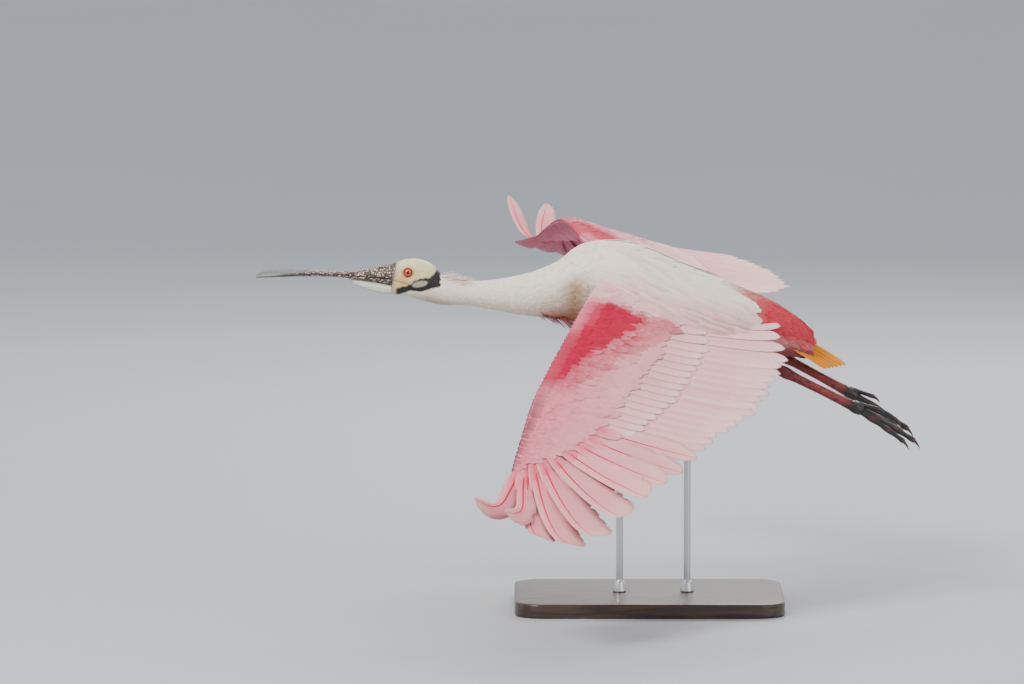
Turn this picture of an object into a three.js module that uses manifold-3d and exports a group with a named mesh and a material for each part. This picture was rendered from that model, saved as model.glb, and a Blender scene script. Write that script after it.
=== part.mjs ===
// A roseate spoonbill in level flight, life size, as a museum model on a plain two-rod stand.
// Millimetres, +Z up. The bill points along -X, and the left wing is on the -Y side.
// The frame's origin is the centre of the stand's underside.
// The bird is still: it has no joints. Head, neck and torso are one body form parted at thin planes,
// and the wings and tail carry their flight feathers and coverts as overlapping vanes in tiers.
import * as THREE from "three";
import { mergeVertices } from "three/addons/utils/BufferGeometryUtils.js";
import Module from "manifold-3d";

const wasm = await Module();
wasm.setup();

// Pose of the bird, in degrees.
const BODY_PITCH = 25; // torso, nose up
const TAIL_PITCH = 31; // tail below level, towards the rear
const WING_PITCH = 16.5; // leading edge of the wings above the trailing edge
const BANK = 23; // left side down; the head stays level
// Each wing: how far arm and hand droop below the bird's own level, how far the wing swings back in
// millimetres, and how the ten primaries bend up under load from their roots to their tips. The
// two outermost are slotted: they curl more, and turn forwards (plus) or back towards their tips.
const POSE = {
  left: { arm: 22, hand: 27, swing: 0, bend: { inner: 10, outer: 58, slotted: 47 }, turn: [44, 48] },
  right: { arm: 19, hand: 48, swing: 39, bend: { inner: 4, outer: 40, slotted: 50 }, turn: [-12, 2] },
};
const SIDES = { left: -1, right: 1 };

// Stand.
const BODY_HEIGHT = 420; // reference point of the torso above the floor
const BODY_SHIFT = -12; // reference point along X from the middle of the base
const BASE = { length: 350, width: 250, thick: 18, corner: 36, edge: 3 };
const ROD = { radius: 4.5, sides: 16, stations: [-26, 62], collar: 9, collarHeight: 14 };

// Gap kept between two nodes that meet.
const GAP = 0.3;

// Outline of head, neck and torso: [x, top, bottom, half width], as seen from the left side.
const BODY_OUTLINE = [
  [-322.4, 27.6, -12.2, 12.5],
  [-312, 31.6, -13.6, 15],
  [-299, 34.3, -15.6, 17],
  [-286, 33.6, -19, 17.6],
  [-273, 28.8, -22, 17.4],
  [-265, 22, -24, 16.8],
  [-256, 13.6, -25.4, 16],
  [-240, 8.8, -25.8, 15.4],
  [-219.7, 5, -26.8, 14.8],
  [-195, 6.1, -31.2, 16.5],
  [-169, 10, -36.4, 19.5],
  [-143, 16.6, -40.4, 23.5],
  [-123, 24, -42.6, 28],
  [-104, 33.8, -45.4, 34],
  [-86, 48.8, -49.6, 42],
  [-71, 56, -55.6, 48],
  [-52, 59.8, -63.4, 53],
  [-26, 59.4, -72.4, 57],
  [0, 54.6, -80.6, 58],
  [32, 40.6, -87, 57],
  [68, 24.7, -91, 53],
  [113, 7.8, -92.6, 44],
  [153, -10.4, -93.8, 33],
  [177, -21.4, -94.4, 26],
  [196, -34, -95, 20],
  [212, -46, -96.5, 15],
  [226, -60, -97, 9],
];
const HEAD_END = -258;
const NECK_MIDDLE = -178;
const NECK_END = -92;
const TORSO_END = 177;
const ROLL_FROM = -235; // the roll of the body grows from nothing here
const ROLL_TO = -70; // to the whole bank here

// Bill: [x, top, mouth line, bottom, half width].
const BILL_OUTLINE = [
  [-499, 12.6, 10.6, 8.8, 9],
  [-494, 16.2, 12.2, 9.8, 18.5],
  [-484, 18.8, 13.2, 10.6, 24.5],
  [-468, 20.2, 14.2, 11, 26],
  [-448, 20.5, 15, 11.4, 20],
  [-425, 20, 15.3, 11.4, 14],
  [-400, 18.9, 14.6, 10.8, 10.6],
  [-378, 18.4, 13, 8.6, 9.6],
  [-358, 20.4, 11.4, 6.4, 10],
  [-340, 24.4, 9.9, 3.6, 11.2],
  [-322.9, 27.6, 8.6, 0.6, 12.4],
];
// Pouch of bare skin between the branches of the lower bill: [x, depth below the bill, half width].
const POUCH_OUTLINE = [
  [-379, 0.6, 2],
  [-372, 6.5, 4.4],
  [-360, 11.4, 6.6],
  [-346, 13.6, 8.2],
  [-334, 13.8, 9.2],
  [-322.9, 12.6, 9.6],
];
// Pointed plumes under the lower neck.
const PLUMES = {
  count: 9,
  from: -138,
  to: -97,
  pitch: [22, 42],
  length: [20, 34],
  swing: 26,
  width: 7,
  thick: 2.4,
};
const LOCK_SHAPE = [[0, 1], [0.4, 0.9], [0.75, 0.55], [1, 0.18]]; // [share of length, share of width]
const EYE = { x: -301.5, z: 17.6, depth: 11.8, radius: 6.1, lid: 1.3 };
const NOSTRIL = { x: -338, z: 23.4, across: 4.6, length: 8, radius: 1.1, slope: 12 };

// Wing, measured from the shoulder: reach runs outwards and fore runs forwards.
const SHOULDER = { x: -38.7, across: 42, lift: 22, z: -2 };
const WRIST_REACH = 225;
const HAND_REACH = 335;
// Core of each wing: [reach, leading edge, chord, thickness].
const WING_CORE = [
  [-14, 22, 96, 30],
  [30, 38, 92, 25],
  [95, 57, 84, 20],
  [165, 77, 72, 16],
  [225, 92, 58, 13],
  [282, 99, 36, 9.5],
  [335, 104, 14, 5.5],
];
const ROOT_LINE = 0.55; // share of the core's chord, behind its leading edge, where the quills start
// Primaries from the innermost: [length, degrees forwards of straight out, width behind the shaft].
const PRIMARIES = [
  [192, -84, 22],
  [184, -75.5, 24],
  [175, -68, 28],
  [170, -57, 36],
  [180, -40, 42],
  [206, -24, 42],
  [230, -13, 37],
  [222, -3, 30],
  [192, 0, 19],
  [188, 15, 19],
];
const SLOTTED = 2; // outermost primaries whose narrow ends stand apart
const SECONDARIES = 12;
const TERTIALS = 3;
const VANE_THICKNESS = 0.8;
const VANE_TILT = 6;
const FLIGHT_STOPS = [0, 0.36, 0.72, 0.93, 1]; // shares of a feather's length
const COVERT_STOPS = [0, 0.72, 1];
const TAIL_STOPS = [0, 0.5, 0.88, 1];

const TAIL = { coreEnd: 224, rootX: 176, rootZ: -52, pairs: 6, fan: 8, length: 112 };
// Legs: [x, z] on the bird's middle plane, and how far each is from it.
const LEG = { hip: [104, -78], ankle: [180, -100], foot: [273, -147], farFoot: [268, -147], apart: 21 };
const TIBIA_RADII = [[0, 15], [0.4, 14], [0.7, 9.5], [0.88, 6.8], [1, 6.4]]; // [share of length, radius]
const TARSUS_RADII = [[0, 6], [0.06, 8.2], [0.13, 7.6], [0.24, 6], [0.6, 5.6], [0.88, 6.2], [1, 7]];
const TOES = [
  { spread: -9, rise: 1, length: 70, radius: 4.4, joints: 2, start: 8, lift: 1 },
  { spread: 0, rise: 0, length: 88, radius: 4.9, joints: 3, start: 8, lift: 0 },
  { spread: 9, rise: -4, length: 76, radius: 4.5, joints: 3, start: 8, lift: -1.5 },
  { spread: -4, rise: 15, length: 34, radius: 3.7, joints: 1, start: 4, lift: 4 },
];
const PALM = { length: 20, radii: [[0, 6.8], [0.4, 8.6], [0.8, 7.4], [1, 4.6]] };
const TOE_CURL = 0.06;
const CLAW_LENGTH = 11;
const CLAW_SHAPE = [[0.35, 1.7], [0.7, 1.15], [1, 0.5]]; // [share of length, radius]

const radians = THREE.MathUtils.degToRad;
const clamp01 = (t) => THREE.MathUtils.clamp(t, 0, 1);
const mix = THREE.MathUtils.lerp;
const smooth = (from, to, x) => THREE.MathUtils.smoothstep(x, from, to);

// A smooth curve through the rows of an outline, read at x: column 0 holds x.
function readOutline(rows, x, column) {
  const last = rows.length - 1;
  if (x <= rows[0][0]) return rows[0][column];
  if (x >= rows[last][0]) return rows[last][column];
  const i = rows.findIndex((row, k) => k < last && x < rows[k + 1][0]);
  const [a, b] = [rows[i], rows[i + 1]];
  const span = b[0] - a[0];
  const t = (x - a[0]) / span;
  const slope = (k) => {
    const [p, q] = [rows[Math.max(k - 1, 0)], rows[Math.min(k + 1, last)]];
    return (q[column] - p[column]) / (q[0] - p[0]);
  };
  const [t2, t3] = [t * t, t * t * t];
  return (
    (2 * t3 - 3 * t2 + 1) * a[column] +
    (t3 - 2 * t2 + t) * span * slope(i) +
    (3 * t2 - 2 * t3) * b[column] +
    (t3 - t2) * span * slope(i + 1)
  );
}

// Unit vectors of a part of the bird that is pitched and banked: fore, right and up.
function axesAt(pitch, bank) {
  const turn = new THREE.Euler(radians(bank), radians(pitch), 0, "XYZ");
  const axis = (x, y, z) => new THREE.Vector3(x, y, z).applyEuler(turn);
  return { fore: axis(-1, 0, 0), right: axis(0, 1, 0), up: axis(0, 0, 1) };
}

// A closed solid from points and faces.
function solidFrom(points, faces) {
  const position = new Float32Array(points.flatMap((p) => [p.x, p.y, p.z]));
  const solid = new wasm.Manifold(
    new wasm.Mesh({ numProp: 3, vertProperties: position, triVerts: new Uint32Array(faces.flat()) }),
  );
  return solid.volume() < 0 ? flipped(points, faces) : solid;
}

function flipped(points, faces) {
  return solidFrom(points, faces.map(([a, b, c]) => [a, c, b]));
}

// A closed solid from a three.js geometry.
function solidFromGeometry(source) {
  const bare = source.index ? source.toNonIndexed() : source.clone();
  bare.deleteAttribute("normal");
  bare.deleteAttribute("uv");
  const merged = mergeVertices(bare, 1e-4);
  return new wasm.Manifold(
    new wasm.Mesh({
      numProp: 3,
      vertProperties: merged.attributes.position.array,
      triVerts: new Uint32Array(merged.index.array),
    }),
  );
}

// A closed skin over rings of equal length, capped at both ends.
function loft(rings) {
  const sides = rings[0].length;
  const points = rings.flat();
  const faces = [];
  for (let i = 0; i < rings.length - 1; i++) {
    for (let j = 0; j < sides; j++) {
      const [a, b] = [i * sides + j, i * sides + ((j + 1) % sides)];
      faces.push([a, b, b + sides], [a, b + sides, a + sides]);
    }
  }
  const end = (rings.length - 1) * sides;
  for (let j = 1; j < sides - 1; j++) {
    faces.push([0, j + 1, j], [end, end + j, end + j + 1]);
  }
  return solidFrom(points, faces);
}

// A ring of an oval, from its middle, two directions and two half sizes.
function ovalRing(middle, across, upward, halfAcross, halfUp, sides) {
  return Array.from({ length: sides }, (_, k) => {
    const angle = (2 * Math.PI * k) / sides;
    return middle
      .clone()
      .addScaledVector(across, halfAcross * Math.sin(angle))
      .addScaledVector(upward, halfUp * Math.cos(angle));
  });
}

// Joins pieces into one closed body, and keeps its largest closed surface.
function fuse(pieces) {
  return largest(wasm.Manifold.union(pieces));
}

function largest(solid) {
  const bodies = solid.decompose();
  return bodies.reduce((best, body) => (body.volume() > best.volume() ? body : best));
}

// A named mesh with its own material.
function meshOf(name, solid, colour, roughness, metalness = 0) {
  const made = solid.getMesh();
  const geometry = new THREE.BufferGeometry();
  const position = new Float32Array(made.numVert * 3);
  for (let i = 0; i < made.numVert; i++) {
    position.set(made.vertProperties.subarray(i * made.numProp, i * made.numProp + 3), i * 3);
  }
  geometry.setAttribute("position", new THREE.BufferAttribute(position, 3));
  geometry.setIndex(new THREE.BufferAttribute(made.triVerts, 1));
  geometry.computeVertexNormals();
  const mesh = new THREE.Mesh(
    geometry,
    new THREE.MeshStandardMaterial({ color: colour, roughness, metalness }),
  );
  mesh.name = name;
  return mesh;
}

// Head, neck and torso: a stretch of the body form from one x to another, grown by a margin.
function bodyStretch(from, to, steps, sides, margin = 0) {
  const rings = [];
  for (let i = 0; i <= steps; i++) {
    const x = mix(from, to, i / steps);
    const top = readOutline(BODY_OUTLINE, x, 1) + margin;
    const bottom = readOutline(BODY_OUTLINE, x, 2) - margin;
    const half = readOutline(BODY_OUTLINE, x, 3) + margin;
    const roll = radians(BANK) * smooth(ROLL_FROM, ROLL_TO, x);
    rings.push(
      ovalRing(
        new THREE.Vector3(x, 0, (top + bottom) / 2),
        new THREE.Vector3(0, Math.cos(roll), Math.sin(roll)),
        new THREE.Vector3(0, -Math.sin(roll), Math.cos(roll)),
        half,
        (top - bottom) / 2,
        sides,
      ),
    );
  }
  return loft(rings);
}

// Where each eye sits, left first.
function eyeCentre(side) {
  return new THREE.Vector3(EYE.x, side * EYE.depth, EYE.z);
}

function ball(centre, radius, across = 10, high = 7) {
  const geometry = new THREE.SphereGeometry(radius, across, high);
  geometry.rotateX(Math.PI / 2);
  geometry.translate(centre.x, centre.y, centre.z);
  return solidFromGeometry(geometry);
}

// Head with a lid round each eye and a socket that the eye fits with a gap.
function headSolid() {
  let head = bodyStretch(-322.4, HEAD_END, 10, 20);
  for (const side of [-1, 1]) {
    const ring = new THREE.TorusGeometry(EYE.radius, EYE.lid, 5, 14);
    ring.rotateX(Math.PI / 2);
    const middle = eyeCentre(side);
    ring.translate(middle.x, side * 16.4, middle.z);
    head = head.add(solidFromGeometry(ring)).subtract(ball(middle, EYE.radius + GAP));
  }
  return largest(head);
}

// One half of the bill between two columns of its outline, flat along the mouth, grown by a margin.
function billHalf(mouthColumn, outerColumn, side, margin = 0) {
  const steps = 16;
  const sides = 10;
  const first = BILL_OUTLINE[0][0] - margin;
  const last = BILL_OUTLINE[BILL_OUTLINE.length - 1][0] + margin;
  const rings = [];
  for (let i = 0; i <= steps; i++) {
    const x = mix(first, last, (i / steps) ** 1.25);
    const mouth = readOutline(BILL_OUTLINE, x, mouthColumn) + side * (GAP / 2 - margin);
    const outer = readOutline(BILL_OUTLINE, x, outerColumn) + side * margin;
    const half = readOutline(BILL_OUTLINE, x, 4) + margin;
    const ring = [];
    for (let k = 0; k < sides; k++) {
      const angle = (Math.PI * k) / (sides - 1);
      ring.push(new THREE.Vector3(x, half * Math.cos(angle), mix(mouth, outer, Math.sin(angle) ** 0.8)));
    }
    rings.push(ring);
  }
  return loft(rings);
}

function upperBillSolid() {
  let bill = billHalf(2, 1, 1);
  for (const side of [-1, 1]) {
    const slit = new THREE.CapsuleGeometry(NOSTRIL.radius, NOSTRIL.length, 3, 8);
    slit.rotateZ(Math.PI / 2);
    slit.rotateY(radians(NOSTRIL.slope));
    slit.translate(NOSTRIL.x, side * NOSTRIL.across, NOSTRIL.z);
    bill = bill.subtract(solidFromGeometry(slit));
  }
  return largest(bill);
}

// The pouch under the lower bill, cut clear of it.
function pouchSolid() {
  const steps = 7;
  const last = POUCH_OUTLINE.length - 1;
  const rings = [];
  for (let i = 0; i <= steps; i++) {
    const x = mix(POUCH_OUTLINE[0][0], POUCH_OUTLINE[last][0], i / steps);
    const depth = readOutline(POUCH_OUTLINE, x, 1);
    const bottom = readOutline(BILL_OUTLINE, x, 3) - depth;
    const top = readOutline(BILL_OUTLINE, x, 2);
    rings.push(
      ovalRing(
        new THREE.Vector3(x, 0, (top + bottom) / 2),
        new THREE.Vector3(0, 1, 0),
        new THREE.Vector3(0, 0, 1),
        readOutline(POUCH_OUTLINE, x, 2),
        (top - bottom) / 2,
        12,
      ),
    );
  }
  return largest(loft(rings).subtract(billHalf(2, 3, -1, GAP)));
}

// Lower neck without its plumes, grown by a margin.
function neckBody(margin = 0) {
  return bodyStretch(NECK_MIDDLE + GAP, NECK_END, 8, 18, margin);
}

// Lower neck with the long pointed plumes that hang under it.
function neckLowerSolid() {
  const pieces = [neckBody()];
  for (let i = 0; i < PLUMES.count; i++) {
    const share = i / (PLUMES.count - 1);
    const x = mix(PLUMES.from, PLUMES.to, share);
    const swing = radians(PLUMES.swing * Math.sin(i * 2.4));
    const half = readOutline(BODY_OUTLINE, x, 3);
    const bottom = readOutline(BODY_OUTLINE, x, 2);
    const root = new THREE.Vector3(x, 0.45 * half * Math.sin(swing * 3), bottom + 7);
    const pitch = mix(PLUMES.pitch[0], PLUMES.pitch[1], share);
    const { fore, right, up } = axesAt(pitch, 0);
    const length = mix(PLUMES.length[0], PLUMES.length[1], share);
    pieces.push(
      lock(root, fore.clone().negate(), right, up, length, PLUMES.width, PLUMES.thick),
    );
  }
  const solid = fuse(pieces);
  return largest(solid.trimByPlane([-1, 0, 0], -NECK_END));
}

// A flat lock that tapers to its tip and bends a little downwards.
function lock(root, along, across, up, length, width, thick) {
  const rings = LOCK_SHAPE.map(([share, size]) => {
    const sag = 0.12 * length * share * share;
    const middle = root.clone().addScaledVector(along, length * share).addScaledVector(up, -sag);
    const [wide, high] = [(width * size) / 2, (thick * size) / 2];
    const corner = (a, b) => middle.clone().addScaledVector(across, a * wide).addScaledVector(up, b * high);
    return [corner(1, 1), corner(-1, 1), corner(-1, -1), corner(1, -1)];
  });
  return plate(rings);
}

// Directions of one wing: out from the body, fore and up.
function wingAxes(word) {
  const { fore, right, up } = axesAt(WING_PITCH, BANK);
  return { out: right.clone().multiplyScalar(SIDES[word]), fore, up };
}

// Droop of the wing below the bird's level at a reach, in degrees.
function droopAt(word, reach) {
  const { arm, hand } = POSE[word];
  return mix(arm, hand, smooth(WRIST_REACH - 40, WRIST_REACH + 60, reach));
}

// A point of a wing, from its reach outwards, its place forwards and its lift off the wing's plane.
function wingPoint(word, reach, foreward, lift) {
  const body = axesAt(BODY_PITCH, BANK);
  const { out, fore, up } = wingAxes(word);
  const point = new THREE.Vector3(SHOULDER.x, 0, SHOULDER.z);
  point.addScaledVector(body.right, SIDES[word] * SHOULDER.across).addScaledVector(body.up, SHOULDER.lift);
  const steps = 16;
  for (let i = 0; i < steps; i++) {
    const angle = radians(droopAt(word, ((i + 0.5) * reach) / steps));
    point.addScaledVector(out, (Math.cos(angle) * reach) / steps);
    point.addScaledVector(up, (-Math.sin(angle) * reach) / steps);
  }
  const end = radians(droopAt(word, reach));
  point.addScaledVector(out, lift * Math.sin(end)).addScaledVector(up, lift * Math.cos(end));
  return point.addScaledVector(fore, foreward - POSE[word].swing * smooth(0, WRIST_REACH, reach));
}

// Where a quill starts inside the core: a share of the chord behind the leading edge, lifted.
function quillRoot(word, reach, share, lift) {
  const [front, chord] = [1, 2].map((column) => readOutline(WING_CORE, reach, column));
  return wingPoint(word, reach, front - share * chord, lift);
}

// Share of a feather's full width along its length: narrow quill, even vane, round tip.
function vaneWidth(t) {
  const quill = mix(0.4, 1, smooth(0, 0.4, t));
  const round = t < 0.78 ? 1 : Math.sqrt(Math.max(0, 1 - ((t - 0.78) / 0.22) ** 2));
  return quill * Math.max(round, 0.12);
}

// A unit vector turned by an angle towards another one at right angles to it.
function turned(from, towards, angle) {
  return from.clone().multiplyScalar(Math.cos(angle)).addScaledVector(towards, Math.sin(angle));
}

// One feather as a thin plate. Its shaft starts at root, points along azimuth, and bends and turns
// towards its tip: early puts most of the bend near the root. lead and trail are the widths of the
// vane on each side of the shaft, and tilt raises the leading side, so that neighbours lie like
// shingles.
function vane(feather) {
  const { root, axes, azimuth, droop, length, lead, trail } = feather;
  const { turn = 0, bend = [0, 0], early = false, tilt = VANE_TILT, stops = FLIGHT_STOPS } = feather;
  const slope = radians(-droop);
  const outward = turned(axes.out, axes.up, slope);
  const flatNormal = turned(axes.up, axes.out, -slope);
  const frameAt = (t) => {
    const angle = radians(azimuth + turn * smooth(0.35, 1, t));
    const lift = radians(mix(bend[0], bend[1], early ? 1 - (1 - t) ** 2 : t));
    const flat = turned(outward, axes.fore, angle);
    const cross = turned(axes.fore, outward, -angle);
    const normal = turned(flatNormal, flat, -lift);
    const lean = radians(tilt);
    return {
      along: turned(flat, flatNormal, lift),
      cross: turned(cross, normal, lean),
      normal: turned(normal, cross, -lean),
    };
  };
  const parts = 6;
  const rings = [];
  const point = root.clone();
  let reached = 0;
  for (const t of stops) {
    for (let k = 0; k < parts; k++) {
      const { along } = frameAt(mix(reached, t, (k + 0.5) / parts));
      point.addScaledVector(along, ((t - reached) * length) / parts);
    }
    reached = t;
    const { cross, normal } = frameAt(t);
    const width = vaneWidth(t);
    const half = VANE_THICKNESS / 2;
    const corner = (sideways, lift) =>
      point.clone().addScaledVector(cross, sideways * width).addScaledVector(normal, lift * half);
    rings.push([corner(lead, 1), corner(-trail, 1), corner(-trail, -1), corner(lead, -1)]);
  }
  return plate(rings);
}

// A thin plate over rings of four corners, split into triangles alike on both faces.
function plate(rings) {
  const points = rings.flat();
  const faces = [[0, 1, 2], [0, 2, 3]];
  for (let i = 0; i < rings.length - 1; i++) {
    const [a, b, c, d] = [0, 1, 2, 3].map((k) => i * 4 + k);
    faces.push([a, b + 4, b], [a, a + 4, b + 4], [b, c + 4, c], [b, b + 4, c + 4]);
    faces.push([d, c, c + 4], [d, c + 4, d + 4], [d, a + 4, a], [d, d + 4, a + 4]);
  }
  const end = (rings.length - 1) * 4;
  faces.push([end, end + 2, end + 1], [end, end + 3, end + 2]);
  return solidFrom(points, faces);
}

// Flesh and bone of the arm and hand, as one tapering airfoil.
function wingCore(word) {
  const sides = 10;
  const steps = 12;
  const rings = [];
  for (let i = 0; i <= steps; i++) {
    const reach = mix(WING_CORE[0][0], HAND_REACH, i / steps);
    const [front, chord, thick] = [1, 2, 3].map((column) => readOutline(WING_CORE, reach, column));
    rings.push(
      Array.from({ length: sides }, (_, k) => {
        const angle = (2 * Math.PI * k) / sides;
        const back = chord * ((1 - Math.cos(angle)) / 2) ** 1.2;
        return wingPoint(word, reach, front - back, (thick / 2) * Math.sin(angle));
      }),
    );
  }
  return loft(rings);
}

// Primaries, outermost last, with a covert over each quill.
function handFeathers(word, axes) {
  const { hand, bend, turn } = POSE[word];
  const last = PRIMARIES.length - 1;
  return PRIMARIES.flatMap(([length, azimuth, trail], i) => {
    const outward = i / last;
    const slot = i - (PRIMARIES.length - SLOTTED);
    const reach = mix(WRIST_REACH + 8, HAND_REACH - 16, outward);
    const shared = { axes, azimuth, droop: hand };
    const flight = vane({
      ...shared,
      root: quillRoot(word, reach, ROOT_LINE, -0.5),
      turn: slot < 0 ? 0 : turn[slot],
      bend: [0, slot < 0 ? mix(bend.inner, bend.outer, Math.min(1, outward * 1.35)) : bend.slotted],
      early: slot >= 0,
      length,
      lead: mix(11, 8, outward),
      trail,
    });
    const covert = vane({
      ...shared,
      root: quillRoot(word, reach, ROOT_LINE - 0.06, 2.2),
      bend: [1, mix(2, 13, outward)],
      length: 0.48 * length,
      lead: 8,
      trail: 13,
      stops: COVERT_STOPS,
    });
    return [flight, covert];
  });
}

// Secondaries and tertials, from the wrist inwards, with a greater covert over each.
function armFeathers(word, axes) {
  const count = SECONDARIES + TERTIALS;
  return Array.from({ length: count }, (_, i) => i).flatMap((i) => {
    const inward = i / (count - 1);
    const tertial = clamp01((i - SECONDARIES + 1) / TERTIALS);
    const reach = mix(WRIST_REACH - 4, 24, inward);
    const length = mix(194, 226, smooth(0, 0.4, inward)) - 34 * tertial;
    const shared = { axes, azimuth: mix(-86.5, -94.5, inward) - 7 * tertial, droop: droopAt(word, reach) };
    const flight = vane({
      ...shared,
      root: quillRoot(word, reach, ROOT_LINE + 0.07, -0.5),
      bend: [-2, 9],
      length,
      lead: 9,
      trail: 17,
    });
    const greater = vane({
      ...shared,
      root: quillRoot(word, reach + 4, ROOT_LINE, 3.8),
      bend: [-2, -1],
      length: 0.46 * length,
      lead: 8,
      trail: 12,
      stops: COVERT_STOPS,
    });
    return [flight, greater];
  });
}

function wingSolid(word, neighbours) {
  const axes = wingAxes(word);
  const joined = fuse([wingCore(word), ...handFeathers(word, axes), ...armFeathers(word, axes)]);
  return largest(joined.subtract(neighbours));
}

// Tail: a core that carries on the line of the rump, twelve tail feathers and two tiers of coverts.
function tailSolid(neighbours) {
  const { fore, right, up } = axesAt(TAIL_PITCH, BANK);
  const core = bodyStretch(TORSO_END + GAP, TAIL.coreEnd, 4, 18);
  const middle = new THREE.Vector3(TAIL.rootX, 0, TAIL.rootZ);
  const pieces = [core];
  for (const side of [-1, 1]) {
    const axes = { out: right.clone().multiplyScalar(side), fore, up };
    const row = (count, build) => {
      for (let i = 0; i < count; i++) {
        pieces.push(vane({ axes, droop: 0, ...build(i, (i + 0.5) / count) }));
      }
    };
    const rootAt = (across, lift, along) =>
      middle
        .clone()
        .addScaledVector(axes.out, across)
        .addScaledVector(up, lift)
        .addScaledVector(fore, -along);
    row(TAIL.pairs, (i, share) => ({
      root: rootAt(15 * share, 1.2 - 1.6 * i, 0),
      azimuth: -90 + TAIL.fan * share,
      bend: [0, -4],
      length: TAIL.length - 30 * share,
      lead: 6.5,
      trail: 8.5,
      tilt: -4,
      stops: TAIL_STOPS,
    }));
    row(3, (i, share) => ({
      root: rootAt(16 * share, 21 - 9 * share, -12),
      azimuth: -90 + 8 * share,
      bend: [-8, -14],
      length: 74 - 10 * share,
      lead: 9,
      trail: 10,
      tilt: -16,
      stops: COVERT_STOPS,
    }));
    row(2, (i, share) => ({
      root: rootAt(15 * share, -20 + 5 * share, -14),
      azimuth: -90 + 8 * share,
      bend: [8, 14],
      length: 62 - 8 * share,
      lead: 8,
      trail: 9,
      tilt: 14,
      stops: COVERT_STOPS,
    }));
  }
  return largest(fuse(pieces).subtract(neighbours));
}

// A round limb through stations of [x, y, z, radius].
function limb(stations, sides) {
  const points = stations.map(([x, y, z]) => new THREE.Vector3(x, y, z));
  const rings = points.map((point, i) => {
    const [before, after] = [points[Math.max(i - 1, 0)], points[Math.min(i + 1, points.length - 1)]];
    const along = after.clone().sub(before).normalize();
    const across = new THREE.Vector3(0, 1, 0).addScaledVector(along, -along.y).normalize();
    const upward = along.clone().cross(across);
    return ovalRing(point, across, upward, stations[i][3], stations[i][3], sides);
  });
  return loft(rings);
}

// Steps along a straight limb from one point to another, with its radius read from shares.
function limbStations(from, to, radii) {
  return radii.map(([share, radius]) => {
    const p = from.clone().lerp(to, share);
    return [p.x, p.y, p.z, radius];
  });
}

// The places of one leg. side is -1 for left and 1 for right; the bank carries the right leg higher.
function legPlaces(side) {
  const { right } = axesAt(BODY_PITCH, BANK);
  const at = (x, z, across) => new THREE.Vector3(x, 0, z).addScaledVector(right, side * across);
  const last = side < 0 ? LEG.foot : LEG.farFoot;
  return {
    hip: at(...LEG.hip, LEG.apart + 3),
    ankle: at(...LEG.ankle, LEG.apart),
    foot: at(...last, LEG.apart - 2),
  };
}

// The thigh and shin, feathered down to the ankle, with a cup that the ankle joint sits in.
function tibiaLimb(side, margin = 0) {
  const { hip, ankle } = legPlaces(side);
  return limb(
    limbStations(
      hip,
      ankle,
      TIBIA_RADII.map(([share, radius]) => [share, radius + margin]),
    ),
    14,
  );
}

// Bare lower leg with the ankle knob at its top, grown by a margin.
function tarsusLimb(side, margin = 0) {
  const { ankle, foot } = legPlaces(side);
  const start = ankle.clone().addScaledVector(foot.clone().sub(ankle).normalize(), -margin);
  return limb(
    limbStations(
      start,
      foot,
      TARSUS_RADII.map(([share, radius]) => [share, radius + margin]),
    ),
    12,
  );
}

// A foot trailing with its toes closed: a palm, three front toes and a hind toe, each with a claw.
function footSolid(side) {
  const { ankle, foot } = legPlaces(side);
  const along = foot.clone().sub(ankle).normalize();
  const across = new THREE.Vector3(0, 1, 0).addScaledVector(along, -along.y).normalize().multiplyScalar(side);
  const upward = new THREE.Vector3(0, 0, 1).addScaledVector(along, -along.z).normalize();
  const start = foot.clone().addScaledVector(along, GAP);
  const palmEnd = start.clone().addScaledVector(along, PALM.length);
  const pieces = [limb(limbStations(start, palmEnd, PALM.radii), 12)];
  for (const toe of TOES) {
    const [spread, rise] = [radians(toe.spread), radians(toe.rise)];
    const heading = along.clone().addScaledVector(across, Math.tan(spread));
    heading.addScaledVector(upward, Math.tan(rise)).normalize();
    const root = start.clone().addScaledVector(along, toe.start).addScaledVector(upward, toe.lift);
    const stations = [];
    const steps = 2 * toe.joints;
    for (let i = 0; i <= steps; i++) {
      const share = i / steps;
      const knuckle = 1 + 0.14 * Math.cos(2 * Math.PI * toe.joints * share);
      const p = root.clone().addScaledVector(heading, toe.length * share);
      p.addScaledVector(upward, -toe.length * TOE_CURL * share * share);
      stations.push([p.x, p.y, p.z, mix(toe.radius, toe.radius * 0.7, share) * knuckle]);
    }
    const [x, y, z] = stations[steps];
    const tip = new THREE.Vector3(x, y, z);
    for (const [share, radius] of CLAW_SHAPE) {
      const p = tip.clone().addScaledVector(heading, CLAW_LENGTH * share);
      p.addScaledVector(upward, -CLAW_LENGTH * (0.15 * share + 0.35 * share * share));
      stations.push([p.x, p.y, p.z, radius]);
    }
    pieces.push(limb(stations, 6));
  }
  return fuse(pieces);
}

// Base plate with rounded corners.
function baseSolid() {
  const { length, width, thick, corner, edge } = BASE;
  const [x, y] = [length / 2 - edge, width / 2 - edge];
  const outline = new THREE.Shape();
  outline.moveTo(-x + corner, -y);
  outline.lineTo(x - corner, -y).absarc(x - corner, -y + corner, corner, -Math.PI / 2, 0);
  outline.lineTo(x, y - corner).absarc(x - corner, y - corner, corner, 0, Math.PI / 2);
  outline.lineTo(-x + corner, y).absarc(-x + corner, y - corner, corner, Math.PI / 2, Math.PI);
  outline.lineTo(-x, -y + corner).absarc(-x + corner, -y + corner, corner, Math.PI, 1.5 * Math.PI);
  const plateShape = new THREE.ExtrudeGeometry(outline, {
    depth: thick - edge,
    bevelThickness: edge,
    bevelSize: edge,
    bevelSegments: 2,
    curveSegments: 5,
  });
  const flat = solidFromGeometry(plateShape);
  return largest(flat.trimByPlane([0, 0, 1], 0));
}

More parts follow.
